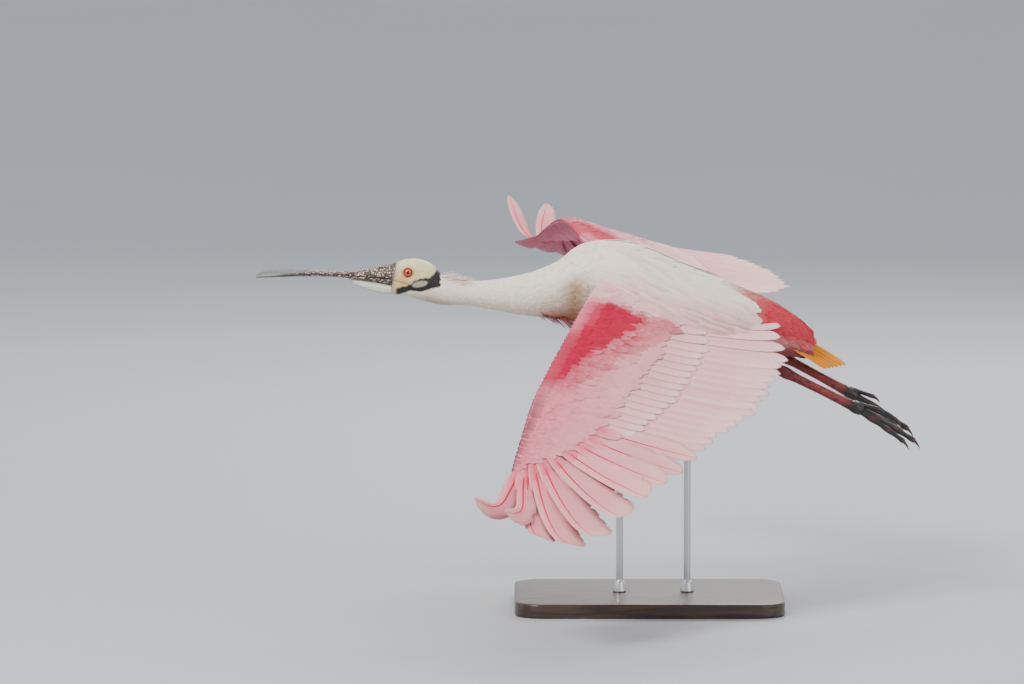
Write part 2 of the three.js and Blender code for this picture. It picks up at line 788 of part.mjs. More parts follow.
// A rod up to the underside of the torso, with a collar where it stands on the base.
function rodSolid(station, torso) {
  const foot = BASE.thick + GAP;
  const top = BODY_HEIGHT + readOutline(BODY_OUTLINE, station, 2) + 30;
  const rod = new THREE.CylinderGeometry(ROD.radius, ROD.radius, top - foot, ROD.sides);
  rod.rotateX(Math.PI / 2);
  rod.translate(station + BODY_SHIFT, 0, (top + foot) / 2);
  const collar = new THREE.CylinderGeometry(ROD.collar * 0.7, ROD.collar, ROD.collarHeight, ROD.sides);
  collar.rotateX(Math.PI / 2);
  collar.translate(station + BODY_SHIFT, 0, foot + ROD.collarHeight / 2);
  const whole = solidFromGeometry(rod).add(solidFromGeometry(collar)).subtract(torso);
  const pieces = whole.decompose();
  return pieces.reduce((low, piece) => (piece.boundingBox().min[2] < low.boundingBox().min[2] ? piece : low));
}

const bird = new THREE.Group();
bird.position.set(BODY_SHIFT, 0, BODY_HEIGHT);
const grownBody = bodyStretch(NECK_END + GAP, TORSO_END + GAP, 16, 22, GAP).add(neckBody(GAP));
const grownRump = bodyStretch(TORSO_END - 5, TAIL.coreEnd, 4, 20, GAP);
const grownLegs = wasm.Manifold.union(
  [-1, 1].flatMap((side) => [tibiaLimb(side, GAP), tarsusLimb(side, GAP)]),
);
const tail = tailSolid(grownBody.add(grownLegs));

bird.add(meshOf("head", headSolid(), 0xd9cf9a, 0.7));
bird.add(meshOf("bill_upper", upperBillSolid(), 0x9a948c, 0.45));
bird.add(meshOf("bill_lower", billHalf(2, 3, -1), 0x8f8880, 0.45));
bird.add(meshOf("gular_pouch", pouchSolid(), 0xc9cdb0, 0.6));
bird.add(meshOf("neck_upper", bodyStretch(HEAD_END + GAP, NECK_MIDDLE, 8, 18), 0xf1ece2, 0.85));
bird.add(meshOf("neck_lower", neckLowerSolid(), 0xf1ece2, 0.85));
bird.add(meshOf("torso", bodyStretch(NECK_END + GAP, TORSO_END, 16, 22), 0xf4dcd8, 0.85));
bird.add(meshOf("tail", tail, 0xe08a3c, 0.75));
for (const [word, side] of Object.entries(SIDES)) {
  const tibia = largest(tibiaLimb(side).subtract(grownBody).subtract(tarsusLimb(side, GAP)));
  bird.add(meshOf("eye_" + word, ball(eyeCentre(side), EYE.radius), 0xc8201c, 0.1));
  bird.add(meshOf("wing_" + word, wingSolid(word, grownBody.add(grownRump)), 0xf0a9b4, 0.8));
  bird.add(meshOf("leg_" + word + "_tibia", tibia, 0xb03a48, 0.8));
  bird.add(meshOf("leg_" + word + "_tarsus", tarsusLimb(side), 0xa4504e, 0.6));
  bird.add(meshOf("foot_" + word, footSolid(side), 0x2c2624, 0.5));
}

const model = new THREE.Group();
model.add(bird);
model.add(meshOf("stand_base", baseSolid(), 0x2b2320, 0.4));
const placedBody = grownBody.translate([BODY_SHIFT, 0, BODY_HEIGHT]);
ROD.stations.forEach((station, i) => {
  const name = i === 0 ? "stand_rod_front" : "stand_rod_rear";
  model.add(meshOf(name, rodSolid(station, placedBody), 0x8a8c90, 0.3, 1));
});

export default model;
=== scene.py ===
"""Looks of a roseate spoonbill in level flight, a life-size museum model on a two-rod stand.

Lengths inside the classes are millimetres, in the bird's own frame unless a name says otherwise.
Surface.build turns them into metres in the row frame.
"""

import logging
import math
from dataclasses import dataclass, field
from enum import Enum

import bpy
import numpy as np
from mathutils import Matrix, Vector


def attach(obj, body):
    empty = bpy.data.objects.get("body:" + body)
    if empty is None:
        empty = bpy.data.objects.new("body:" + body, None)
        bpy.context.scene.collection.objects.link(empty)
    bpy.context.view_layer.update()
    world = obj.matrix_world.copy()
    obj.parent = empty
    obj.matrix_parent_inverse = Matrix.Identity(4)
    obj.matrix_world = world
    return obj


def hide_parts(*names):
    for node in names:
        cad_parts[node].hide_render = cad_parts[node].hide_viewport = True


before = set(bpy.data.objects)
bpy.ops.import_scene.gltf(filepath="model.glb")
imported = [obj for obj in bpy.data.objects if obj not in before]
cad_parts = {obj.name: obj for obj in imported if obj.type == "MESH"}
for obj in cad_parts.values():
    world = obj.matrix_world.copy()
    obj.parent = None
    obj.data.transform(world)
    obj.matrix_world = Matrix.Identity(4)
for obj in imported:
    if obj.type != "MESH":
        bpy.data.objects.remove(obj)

LOG = logging.getLogger("spoonbill")
Array = np.ndarray

BIRD_ORIGIN = np.array([-12.0, 0.0, 420.0])
WORLD_ORIGIN = np.zeros(3)
BODY_PITCH, TAIL_PITCH, WING_PITCH, BANK = 25.0, 31.0, 16.5, 23.0

# Head, neck and torso: [x, top, bottom, half width].
BODY_OUTLINE = [
    [-322.4, 27.6, -12.2, 12.5], [-312, 31.6, -13.6, 15], [-299, 34.3, -15.6, 17], [-286, 33.6, -19, 17.6],
    [-273, 28.8, -22, 17.4], [-265, 22, -24, 16.8], [-256, 13.6, -25.4, 16], [-240, 8.8, -25.8, 15.4],
    [-219.7, 5, -26.8, 14.8], [-195, 6.1, -31.2, 16.5], [-169, 10, -36.4, 19.5], [-143, 16.6, -40.4, 23.5],
    [-123, 24, -42.6, 28], [-104, 33.8, -45.4, 34], [-86, 48.8, -49.6, 42], [-71, 56, -55.6, 48],
    [-52, 59.8, -63.4, 53], [-26, 59.4, -72.4, 57], [0, 54.6, -80.6, 58], [32, 40.6, -87, 57],
    [68, 24.7, -91, 53], [113, 7.8, -92.6, 44], [153, -10.4, -93.8, 33], [177, -21.4, -94.4, 26],
    [196, -34, -95, 20], [212, -46, -96.5, 15], [226, -60, -97, 9],
]
ROLL_FROM, ROLL_TO = -235.0, -70.0
HEAD_FRONT, HEAD_BACK, COAT_FRONT, RUMP_END, BODY_LENGTH = -322.4, -259.5, -303.0, 224.0, 535.0

# Bill: [x, top, mouth line, bottom, half width].
BILL_OUTLINE = [
    [-499, 12.6, 10.6, 8.8, 9], [-494, 16.2, 12.2, 9.8, 18.5], [-484, 18.8, 13.2, 10.6, 24.5],
    [-468, 20.2, 14.2, 11, 26], [-448, 20.5, 15, 11.4, 20], [-425, 20, 15.3, 11.4, 14],
    [-400, 18.9, 14.6, 10.8, 10.6], [-378, 18.4, 13, 8.6, 9.6], [-358, 20.4, 11.4, 6.4, 10],
    [-340, 24.4, 9.9, 3.6, 11.2], [-322.9, 27.6, 8.6, 0.6, 12.4],
]
# Pouch: [x, depth below the bill, half width].
POUCH_OUTLINE = [
    [-379, 0.6, 2], [-372, 6.5, 4.4], [-360, 11.4, 6.6], [-346, 13.6, 8.2], [-334, 13.8, 9.2],
    [-322.9, 12.6, 9.6],
]
# Upper and lower edge of the black band round the back of the head: [x, z].
BAND_TOP = [
    [-318, -5], [-313.4, -2.2], [-299.8, 1.6], [-293.5, 6.5],
    [-283.5, 10.3], [-272.4, 11.6], [-267, 17], [-262, 27],
]
BAND_FOOT = [[-318, -12.5], [-311, -10.9], [-298.5, -6.5], [-286, -7.8], [-268.7, -2.7], [-259, -1]]
EYE_X, EYE_Z, EYE_DEPTH, EYE_RADIUS = -301.5, 17.6, 11.8, 6.1

# How far the horn runs into the face.
BILL_OVERLAP = 1.3

TURN = 2 * math.pi
# The bake map: its margin, what lies between the margins, and the side of a small feather's patch.
MAP_MARGIN, MAP_SPAN, TUFT_PATCH = 0.02, 0.94, 0.003


class Side(Enum):
    """The two sides of the bird; the value is the sign of Y."""

    LEFT = -1
    RIGHT = 1


def rgb(code: str) -> Array:
    """Linear colour of an sRGB hex code.

    Args:
        code: six hex digits.

    Returns:
        Three linear values.
    """
    value = np.array([int(code[i : i + 2], 16) for i in (0, 2, 4)]) / 255
    return np.where(value <= 0.04045, value / 12.92, ((value + 0.055) / 1.055) ** 2.4)


def blend(base: Array, other: Array, share: Array | float) -> Array:
    """Mixes two sets of colours.

    Args:
        base: colour at share 0.
        other: colour at share 1.
        share: share of the other colour, without the colour axis.

    Returns:
        The mixed colours.
    """
    return base + (other - base) * np.asarray(share)[..., None]


def smooth(start: float, end: float, x: Array | float) -> Array:
    """Smooth step from 0 at start to 1 at end; start may be the greater.

    Args:
        start: where the step begins.
        end: where it ends.
        x: where it is read.

    Returns:
        Values from 0 to 1.
    """
    t = np.clip((np.asarray(x, float) - start) / (end - start), 0, 1)
    return t * t * (3 - 2 * t)


def hump(x: Array, middle: float, width: float) -> Array:
    """A bell of height 1.

    Args:
        x: where it is read.
        middle: where it peaks.
        width: how far from the middle it has fallen to about a third.

    Returns:
        Values from 0 to 1.
    """
    return np.exp(-(((x - middle) / width) ** 2))


def read_outline(rows: list | tuple, x: Array | float, column: int) -> Array:
    """A smooth curve through the rows of an outline.

    Args:
        rows: rows whose first value is x.
        x: where the curve is read.
        column: column of the value.

    Returns:
        The values at x.
    """
    table = np.array(rows, float)
    xs, ys = table[:, 0], table[:, column]
    slope = np.gradient(ys)
    slope[1:-1] = (ys[2:] - ys[:-2]) / (xs[2:] - xs[:-2])
    slope[0], slope[-1] = (ys[1] - ys[0]) / (xs[1] - xs[0]), (ys[-1] - ys[-2]) / (xs[-1] - xs[-2])
    x = np.clip(x, xs[0], xs[-1])
    i = np.clip(np.searchsorted(xs, x, side="right") - 1, 0, len(xs) - 2)
    span = xs[i + 1] - xs[i]
    t = (x - xs[i]) / span
    return (
        (2 * t**3 - 3 * t**2 + 1) * ys[i]
        + (t**3 - 2 * t**2 + t) * span * slope[i]
        + (3 * t**2 - 2 * t**3) * ys[i + 1]
        + (t**3 - t**2) * span * slope[i + 1]
    )


def unit(vectors: Array) -> Array:
    """Vectors scaled to length 1.

    Args:
        vectors: vectors on the last axis.

    Returns:
        Unit vectors.
    """
    return vectors / np.maximum(np.linalg.norm(vectors, axis=-1, keepdims=True), 1e-9)


def layered(base: Array, *layers: tuple[Array, Array | float]) -> Array:
    """Lays colours over a base, one after the other.

    Args:
        base: first colour.
        layers: colours, each with its share.

    Returns:
        The colour on top.
    """
    for colour, share in layers:
        base = blend(base, colour, share)
    return base


def circle(count: int) -> Array:
    """Angles evenly spaced round a circle."""
    return np.linspace(0, TURN, count, endpoint=False)


def read_radii(rows: tuple, share: Array | float) -> Array:
    """Radii of a limb at shares of its length, straight between rows of share and radius."""
    return np.interp(share, *np.array(rows, float).T)


def on_map(share: Array) -> Array:
    """Shares of a form's length as places between the margins of the bake map."""
    return share * MAP_SPAN + MAP_MARGIN


def round_map(angle: Array) -> Array:
    """Angles as places between the margins of the bake map."""
    return on_map(angle % TURN / TURN)


@dataclass(frozen=True)
class Axes:
    """Fore, right and up of a part of the bird."""

    fore: Array
    right: Array
    up: Array

    @classmethod
    def at(cls, pitch: float, bank: float) -> "Axes":
        """Axes of a part that is pitched and then banked.

        Args:
            pitch: nose up, degrees.
            bank: left side down, degrees.

        Returns:
            The axes.
        """
        p, b = math.radians(pitch), math.radians(bank)
        turn = np.array([[1, 0, 0], [0, math.cos(b), -math.sin(b)], [0, math.sin(b), math.cos(b)]])
        return cls(
            turn @ np.array([-math.cos(p), 0, math.sin(p)]),
            turn @ np.array([0.0, 1.0, 0.0]),
            turn @ np.array([math.sin(p), 0, math.cos(p)]),
        )


@dataclass
class Surface:
    """Points, faces and values of one mesh piece while it is put together."""

    name: str
    origin: Array = field(default_factory=lambda: BIRD_ORIGIN)
    points: list[Array] = field(default_factory=list)
    tints: list[Array] = field(default_factory=list)
    lanes: list[Array] = field(default_factory=list)
    loops: list[Array] = field(default_factory=list)
    sizes: list[Array] = field(default_factory=list)
    places: list[Array] = field(default_factory=list)
    normals: list[Array] = field(default_factory=list)
    count: int = 0

    @staticmethod
    def inward(rings: Array) -> bool:
        """Whether faces over these rings would point inwards.

        Args:
            rings: one stack of closed rings.

        Returns:
            True if the faces have to be turned.
        """
        shifted = rings - rings.mean((0, 1))
        a, d = shifted[:-1], shifted[1:]
        b, c = np.roll(a, -1, 1), np.roll(d, -1, 1)
        return float((a * np.cross(b, c)).sum() + (a * np.cross(c, d)).sum()) < 0

    def add(
        self, rings: Array, tint: Array, lane: Array, boxes: Array | None = None, normals: Array | None = None
    ) -> "Surface":
        """Adds closed skins over stacks of rings, capped at both ends.

        Args:
            rings: points, one stack of rings or many.
            tint: a colour for each point, or one that spreads to them.
            lane: three texture values for each point, or ones that spread to them.
            boxes: for each stack, the corner and size of its patch of the bake map.
            normals: soft normals for each point, if the piece has them.

        Returns:
            This surface.
        """
        rings = np.asarray(rings, float)
        rings = rings[None] if rings.ndim == 3 else rings
        stacks, rows, columns, _ = rings.shape
        index = np.arange(stacks * rows * columns).reshape(stacks, rows, columns) + self.count
        near, far = index[:, :-1], index[:, 1:]
        corners = [near, np.roll(near, -1, 2), np.roll(far, -1, 2), far]
        row, column = np.meshgrid(np.arange(rows - 1), np.arange(columns), indexing="ij")
        steps = [(0, 0), (1, 0), (1, 1), (0, 1)]
        flip = self.inward(rings[0])
        if flip:
            corners, steps = corners[::-1], steps[::-1]
        self.loops.append(np.stack(corners, -1).reshape(-1))
        self.sizes.append(np.full(stacks * (rows - 1) * columns, 4))
        first, last = index[:, 0, ::-1], index[:, -1]
        if flip:
            first, last = first[:, ::-1], last[:, ::-1]
        self.loops += [first.reshape(-1), last.reshape(-1)]
        self.sizes.append(np.full(stacks * 2, columns))
        if boxes is not None:
            share = np.stack(
                [np.stack([(column + s) / columns, (row + r) / (rows - 1)], -1) for s, r in steps], -2
            )
            place = boxes[:, None, None, None, :2] + share[None] * boxes[:, None, None, None, 2:]
            self.places.append(place.reshape(-1, 2))
            for foot in (0.0, 1.0):
                end = boxes[:, :2] + boxes[:, 2:] * np.array([0.5, foot])
                self.places.append(np.repeat(end, columns, 0))
        if normals is not None:
            self.normals.append(normals.reshape(-1, 3))
        self.points.append(rings.reshape(-1, 3))
        self.tints.append(np.broadcast_to(tint, rings.shape).reshape(-1, 3))
        self.lanes.append(np.broadcast_to(lane, rings.shape).reshape(-1, 3))
        self.count += stacks * rows * columns
        return self

    def build(self, finish: "Finish", slot: str, *nodes: str) -> bpy.types.Object:
        """Makes the mesh object, tells the frame about it and logs it.

        Args:
            finish: finish of the piece.
            slot: slot that the finish belongs to; not used.
            nodes: CAD nodes the piece stands for.

        Returns:
            The new object.
        """
        points = (np.concatenate(self.points) + self.origin) / 1000
        loops, sizes = np.concatenate(self.loops), np.concatenate(self.sizes)
        starts = np.concatenate([[0], np.cumsum(sizes)[:-1]])
        mesh = bpy.data.meshes.new(self.name)
        mesh.vertices.add(len(points))
        mesh.vertices.foreach_set("co", points.astype(np.float32).reshape(-1))
        mesh.loops.add(len(loops))
        mesh.loops.foreach_set("vertex_index", loops.astype(np.int32))
        mesh.polygons.add(len(sizes))
        mesh.polygons.foreach_set("loop_start", starts.astype(np.int32))
        mesh.polygons.foreach_set("use_smooth", np.ones(len(sizes), bool))
        mesh.update(calc_edges=True)
        tint = np.clip(np.concatenate(self.tints), 0, 1)
        tint = np.concatenate([tint, np.ones((len(tint), 1))], 1)
        lane = np.concatenate(self.lanes)
        stored = [("tint", "FLOAT_COLOR", "color", tint), ("lane", "FLOAT_VECTOR", "vector", lane)]
        for name, kind, key, values in stored:
            data = mesh.attributes.new(name, kind, "POINT").data
            data.foreach_set(key, values.astype(np.float32).reshape(-1))
        if self.places:
            layer = mesh.uv_layers.new(name="OFBake")
            layer.data.foreach_set("uv", np.concatenate(self.places).astype(np.float32).reshape(-1))
        if self.normals:
            mesh.normals_split_custom_set_from_vertices(np.concatenate(self.normals).astype(np.float32))
        piece = bpy.data.objects.new(self.name, mesh)
        bpy.context.scene.collection.objects.link(piece)
        mesh.materials.append(finish.material())
        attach(piece, "root")
        if nodes:
            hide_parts(*nodes)
        LOG.info("%s: %d points, %d faces", self.name, len(points), len(sizes))
        return piece


@dataclass
class Value:
    """One output of a shader graph; arithmetic on it adds Math nodes."""

    graph: "Graph"
    socket: bpy.types.NodeSocket

    def math(self, operation: str, first: "Value | float", second: "Value | float" = 0.0) -> "Value":
        """Adds a Math node.

        Args:
            operation: its operation.
            first: first operand.
            second: second operand.

        Returns:
            Its result.
        """
        return self.graph.node("ShaderNodeMath", {"operation": operation}, {0: first, 1: second})

    def __add__(self, other: "Value | float") -> "Value":
        """Sum."""
        return self.math("ADD", self, other)

    def __radd__(self, other: float) -> "Value":
        """Sum."""
        return self.math("ADD", other, self)

    def __sub__(self, other: "Value | float") -> "Value":
        """Difference."""
        return self.math("SUBTRACT", self, other)

    def __rsub__(self, other: float) -> "Value":
        """Difference, taken off a number."""
        return self.math("SUBTRACT", other, self)

    def __mul__(self, other: "Value | float") -> "Value":
        """Product."""
        return self.math("MULTIPLY", self, other)

    def __rmul__(self, other: float) -> "Value":
        """Product."""
        return self.math("MULTIPLY", other, self)

    def __abs__(self) -> "Value":
        """Value without its sign."""
        return self.math("ABSOLUTE", self)

    def sine(self) -> "Value":
        """Sine of the value in radians."""
        return self.math("SINE", self)

    def step(self, low: float, high: float) -> "Value":
        """Smooth step between two values.

        Args:
            low: where it is 0.
            high: where it is 1.

        Returns:
            The step.
        """
        settings = {"interpolation_type": "SMOOTHSTEP"}
        return self.graph.node("ShaderNodeMapRange", settings, {0: self, 1: low, 2: high, 3: 0.0, 4: 1.0})


class Graph:
    """The nodes of one material round its Principled shader."""

    def __init__(self, name: str, constants: dict[str, float]) -> None:
        """Starts a material.

        Args:
            name: its name.
            constants: values set on the shader's own sockets.
        """
        self.material = bpy.data.materials.new(name)
        self.material.use_nodes = True
        self.tree = self.material.node_tree
        self.tree.nodes.clear()
        self.shader = self.tree.nodes.new("ShaderNodeBsdfPrincipled")
        output = self.tree.nodes.new("ShaderNodeOutputMaterial")
        self.tree.links.new(self.shader.outputs[0], output.inputs[0])
        for socket, value in constants.items():
            self.shader.inputs[socket].default_value = value

    def node(self, kind: str, settings: dict, inputs: dict, output: int | str = 0) -> Value:
        """Adds a node.

        Args:
            kind: its type.
            settings: its properties.
            inputs: values or links by socket.
            output: which output is returned.

        Returns:
            That output.
        """
        made = self.tree.nodes.new(kind)
        for name, value in settings.items():
            setattr(made, name, value)
        for key, value in inputs.items():
            if isinstance(value, Value):
                self.tree.links.new(value.socket, made.inputs[key])
            else:
                made.inputs[key].default_value = value
        return Value(self, made.outputs[output])

    def feed(self, socket: str, value: Value) -> None:
        """Links a value to the shader.

        Args:
            socket: name of the shader's socket.
            value: what feeds it.
        """
        self.tree.links.new(value.socket, self.shader.inputs[socket])

    def attribute(self, name: str, output: str) -> Value:
        """One output of a value stored on the mesh."""
        return self.node("ShaderNodeAttribute", {"attribute_name": name}, {}, output)

    def mix(self, share: Value | float, base: "Value | tuple", other: "Value | tuple") -> Value:
        """Mixes two colours.

        Args:
            share: share of the other colour.
            base: first colour.
            other: other colour.

        Returns:
            The mixed colour.
        """
        return self.node("ShaderNodeMix", {"data_type": "RGBA"}, {0: share, 6: base, 7: other}, 2)

    def place(self) -> Value:
        """Place on the object."""
        return self.node("ShaderNodeTexCoord", {}, {}, "Object")

    def axis(self, vector: Value, index: int) -> Value:
        """One axis of a vector."""
        return self.node("ShaderNodeSeparateXYZ", {}, {0: vector}, index)

    def vector(self, operation: str, first: Value, second: "Value | tuple") -> Value:
        """Vector Math on two vectors."""
        return self.node("ShaderNodeVectorMath", {"operation": operation}, {0: first, 1: second})

    def scaled(self, colour: Value, factor: Value | float) -> Value:
        """A colour or vector times a number."""
        return self.node("ShaderNodeVectorMath", {"operation": "SCALE"}, {0: colour, "Scale": factor})

    def noise(self, where: Value, scale: float, detail: float = 3.0) -> Value:
        """Noise round 0.5, finer with scale and richer with detail."""
        return self.node("ShaderNodeTexNoise", {}, {"Vector": where, "Scale": scale, "Detail": detail})

    def cells(self, where: Value, scale: float, feature: str, output: str) -> Value:
        """One output of a feature of Voronoi cells."""
        inputs = {"Vector": where, "Scale": scale}
        return self.node("ShaderNodeTexVoronoi", {"feature": feature}, inputs, output)

    def bump(self, height: Value, distance: float, strength: float = 1.0) -> None:
        """Feeds a bump to the shader's normal.

        Args:
            height: height from 0 to 1.
            distance: height of 1, in metres.
            strength: strength of the bump.
        """
        made = self.node("ShaderNodeBump", {}, {"Height": height, "Distance": distance, "Strength": strength})
        self.feed("Normal", made)


@dataclass(frozen=True)
class Finish:
    """How a surface looks. Kinds of finish say how their graph is painted."""

    name: str
    roughness: float = 0.6
    coat: float = 0.0
    sheen: float = 0.0
    gloss: float = 0.5

    def paint(self, g: Graph) -> None:
        """Feeds the stored colour to the shader."""
        g.feed("Base Color", g.attribute("tint", "Color"))

    def material(self) -> bpy.types.Material:
        """The material, made once.

        Returns:
            The material with this finish's name.
        """
        made = bpy.data.materials.get(self.name)
        if made:
            return made
        constants = {
            "Roughness": self.roughness, "Coat Weight": self.coat, "Coat Roughness": 0.12,
            "Sheen Weight": self.sheen, "Sheen Roughness": 0.5, "Metallic": 0.0,
            "Specular IOR Level": self.gloss,
        }
        graph = Graph(self.name, constants)
        self.paint(graph)
        return graph.material


@dataclass(frozen=True)
class FeatherFinish(Finish):
    """Vanes with barbs that leave the shaft at an angle. Lane holds across, along and a seed."""

    spacing: float = 1.1
    depth: float = 0.00022
    streak: float = 0.26

    def paint(self, g: Graph) -> None:
        """Feeds the shader.

        Args:
            g: the graph to paint.
        """
        lane = g.attribute("lane", "Vector")
        across, along, seed = [g.axis(lane, i) for i in range(3)]
        barb = along - abs(across) * 0.85
        place = g.node("ShaderNodeCombineXYZ", {}, {0: barb, 1: across * 0.1, 2: seed * 37.0})
        fine = g.noise(place, 1.3)
        soft = g.noise(place, 0.16, 2.0)
        value = (1.0 - self.streak * 0.72) + self.streak * fine + self.streak * 0.5 * soft
        g.feed("Base Color", g.scaled(g.attribute("tint", "Color"), value))
        g.feed("Roughness", self.roughness - 0.1 + 0.2 * fine)
        ridge = (barb * (TURN / self.spacing)).sine() * 0.28 + 0.5
        g.bump(ridge * 0.6 + fine * 0.5, self.depth)


@dataclass(frozen=True)
class SkinFinish(Finish):
    """Bare skin with wrinkles and pores."""

    grain: float = 420.0
    depth: float = 0.0006
    mottle: float = 0.22

    def paint(self, g: Graph) -> None:
        """Feeds the shader.

        Args:
            g: the graph to paint.
        """
        place = g.place()
        wide, fine = g.noise(place, self.grain * 0.22, 4.0), g.noise(place, self.grain, 4.0)
        crease = g.cells(place, self.grain * 0.75, "DISTANCE_TO_EDGE", "Distance").step(0.0, 0.16)
        value = (1.0 - self.mottle) + self.mottle * (wide + fine)
        # mottled at random, and darker along the crease lines between the cells
        worn = g.scaled(g.attribute("tint", "Color"), value * (0.86 + 0.14 * crease))
        g.feed("Base Color", worn)
        g.feed("Roughness", self.roughness - 0.12 + 0.24 * fine)
        g.bump(crease * 0.35 + wide * 0.4 + fine * 0.3, self.depth)


@dataclass(frozen=True)
class BillFinish(Finish):
    """Horn with pale warty plates between black lines; lane's x runs along the bill."""

    plates: float = 0.4
    plain_end: float = -496.0
    warty_from: float = -425.0
    GAP, RIDGE = (0.012, 0.01, 0.011, 1.0), (0.05, 0.06, 0.07, 1.0)

    def paint(self, g: Graph) -> None:
        """Feeds the shader.

        Args:
            g: the graph to paint.
        """
        lane = g.attribute("lane", "Vector")
        along = g.axis(lane, 0)
        shift = g.scaled(g.node("ShaderNodeTexNoise", {}, {"Vector": lane, "Scale": 0.35}, 1), 2.4)
        place = g.vector("MULTIPLY", g.vector("ADD", lane, shift), (0.8, 1.0, 1.0))
        edge = g.cells(place, self.plates, "DISTANCE_TO_EDGE", "Distance")
        chance = g.axis(g.cells(place, self.plates, "F1", "Color"), 0)
        gap = 1.0 - (edge.step(0.06, 0.2) * (1.0 - 0.85 * chance.step(0.62, 0.7)))
        warty = along.step(self.plain_end, self.warty_from)
        noise = g.noise(lane, 0.5, 4.0)
        base = g.scaled(g.attribute("tint", "Color"), 0.78 + 0.44 * noise)
        dark = g.mix(gap * warty, base, self.GAP)
        ridges = ((along + 4.0 * noise) * 1.5).sine() * 0.5 + 0.5
        g.feed("Base Color", g.mix((1.0 - warty) * ridges * 0.22, dark, self.RIDGE))
        g.feed("Roughness", 0.3 + 0.25 * noise)
        g.bump((1.0 - gap) * (0.25 + 0.75 * warty) + ridges * (1.0 - warty) * 0.3, 0.0007)


@dataclass(frozen=True)
class ScaleFinish(Finish):
    """Horny scales of legs and feet; lane holds round, along and a seed, in millimetres."""

    size: float = 3.0
    MUD = (0.02, 0.012, 0.012, 1.0)

    def paint(self, g: Graph) -> None:
        """Feeds the shader.

        Args:
            g: the graph to paint.
        """
        lane = g.attribute("lane", "Vector")
        edge = g.cells(lane, 1.0 / self.size, "DISTANCE_TO_EDGE", "Distance").step(0.0, 0.14)
        patch, fine = g.noise(lane, 0.16, 4.0), g.noise(lane, 1.4, 3.0)
        dark = g.scaled(g.attribute("tint", "Color"), (0.45 + 0.55 * edge) * (0.55 + 0.9 * fine))
        g.feed("Base Color", g.mix(patch.step(0.52, 0.66) * 0.75, dark, self.MUD))
        g.feed("Roughness", self.roughness - 0.1 + 0.22 * fine)
        g.bump(edge * 0.8 + fine * 0.2, 0.0005)


@dataclass(frozen=True)
class WoodFinish(Finish):
    """Dark stained wood with a satin varnish."""

    STAIN, GRAIN = (0.018, 0.0095, 0.006, 1.0), (0.062, 0.031, 0.017, 1.0)

    def paint(self, g: Graph) -> None:
        """Feeds the shader.

        Args:
            g: the graph to paint.
        """
        place = g.place()
        long = g.vector("MULTIPLY", place, (2.2, 26.0, 26.0))
        wide, fibre = g.noise(long, 1.6, 5.0), g.noise(long, 14.0, 4.0)
        rings = (wide * 46.0).sine() * 0.5 + 0.5
        colour = g.mix(rings * 0.75, self.STAIN, self.GRAIN)
        g.feed("Base Color", g.scaled(colour, 0.7 + 0.6 * fibre))
        g.feed("Roughness", 0.3 + 0.22 * fibre)
        g.bump(fibre * 0.6 + rings * 0.25, 0.0002)


@dataclass(frozen=True)
class SteelFinish(Finish):
    """Satin steel, brushed along its length."""

    BRIGHT, DULL = (0.62, 0.63, 0.65, 1.0), (0.4, 0.41, 0.43, 1.0)

    def paint(self, g: Graph) -> None:
        """Feeds the shader.

        Args:
            g: the graph to paint.
        """
        g.shader.inputs["Metallic"].default_value = 1.0
        place = g.place()
        long = g.vector("MULTIPLY", place, (900.0, 900.0, 14.0))
        brush, cloud = g.noise(long, 1.0, 3.0), g.noise(place, 30.0, 3.0)
        g.feed("Base Color", g.mix(0.35 * cloud, self.BRIGHT, self.DULL))
        g.feed("Roughness", 0.2 + 0.16 * brush + 0.1 * cloud)
        g.bump(brush, 0.00005)


SOFT = FeatherFinish("coat_soft", 0.85, sheen=0.06, gloss=0.15, spacing=0.9, depth=0.00018, streak=0.2)
VANED = FeatherFinish("coat_vaned", 0.75, gloss=0.2)
BARE = SkinFinish("skin_bare", 0.5, coat=0.05)
POUCH = SkinFinish("skin_pouch", 0.42, coat=0.1, grain=260.0, depth=0.0004, mottle=0.16)
UNDER = SkinFinish("skin_under", 0.8, grain=300.0)
BILL = BillFinish("horn_bill", 0.4, coat=0.15)
LEG = ScaleFinish("scale_leg", 0.5, coat=0.08, size=2.6)
FOOT = ScaleFinish("scale_foot", 0.36, coat=0.25, size=2.2)
CLAW = SkinFinish("horn_claw", 0.3, coat=0.4, grain=900.0, depth=0.0002)
EYE = Finish("eye_gloss", 0.12, coat=1.0)
WOOD = WoodFinish("wood_dark", 0.4, coat=0.3)
STEEL = SteelFinish("steel_satin", 0.3)


def blade_rings(
    centre: Array, cross: Array, normal: Array, lead: Array, trail: Array,
    thick: float, camber: float, columns: int,
) -> tuple[Array, Array, Array]:
    """Closed rings of thin cambered vanes.

    Args:
        centre: points along the shafts.
        cross: unit vectors towards the leading edge.
        normal: unit vectors off the upper face.
        lead: widths before the shaft.
        trail: widths behind it.
        thick: thickness at the shaft.
        camber: how far the edges curve down, as a share of the width.
        columns: points across each face.

    Returns:
        The rings, the place of each point across in millimetres, and its face, 1 above and -1 below.
    """
    u = np.concatenate([np.linspace(1, -1, columns), np.linspace(-1, 1, columns)])
    face = np.repeat([1.0, -1.0], columns)
    width = np.where(u > 0, lead[..., None], trail[..., None])
    across = u * width
    height = face * thick / 2 * (1 - 0.7 * u**2) - camber * width * u**2
    rings = centre[..., None, :] + cross[..., None, :] * across[..., None]
    rings = rings + normal[..., None, :] * height[..., None]
    return rings, across, np.broadcast_to(face, across.shape)


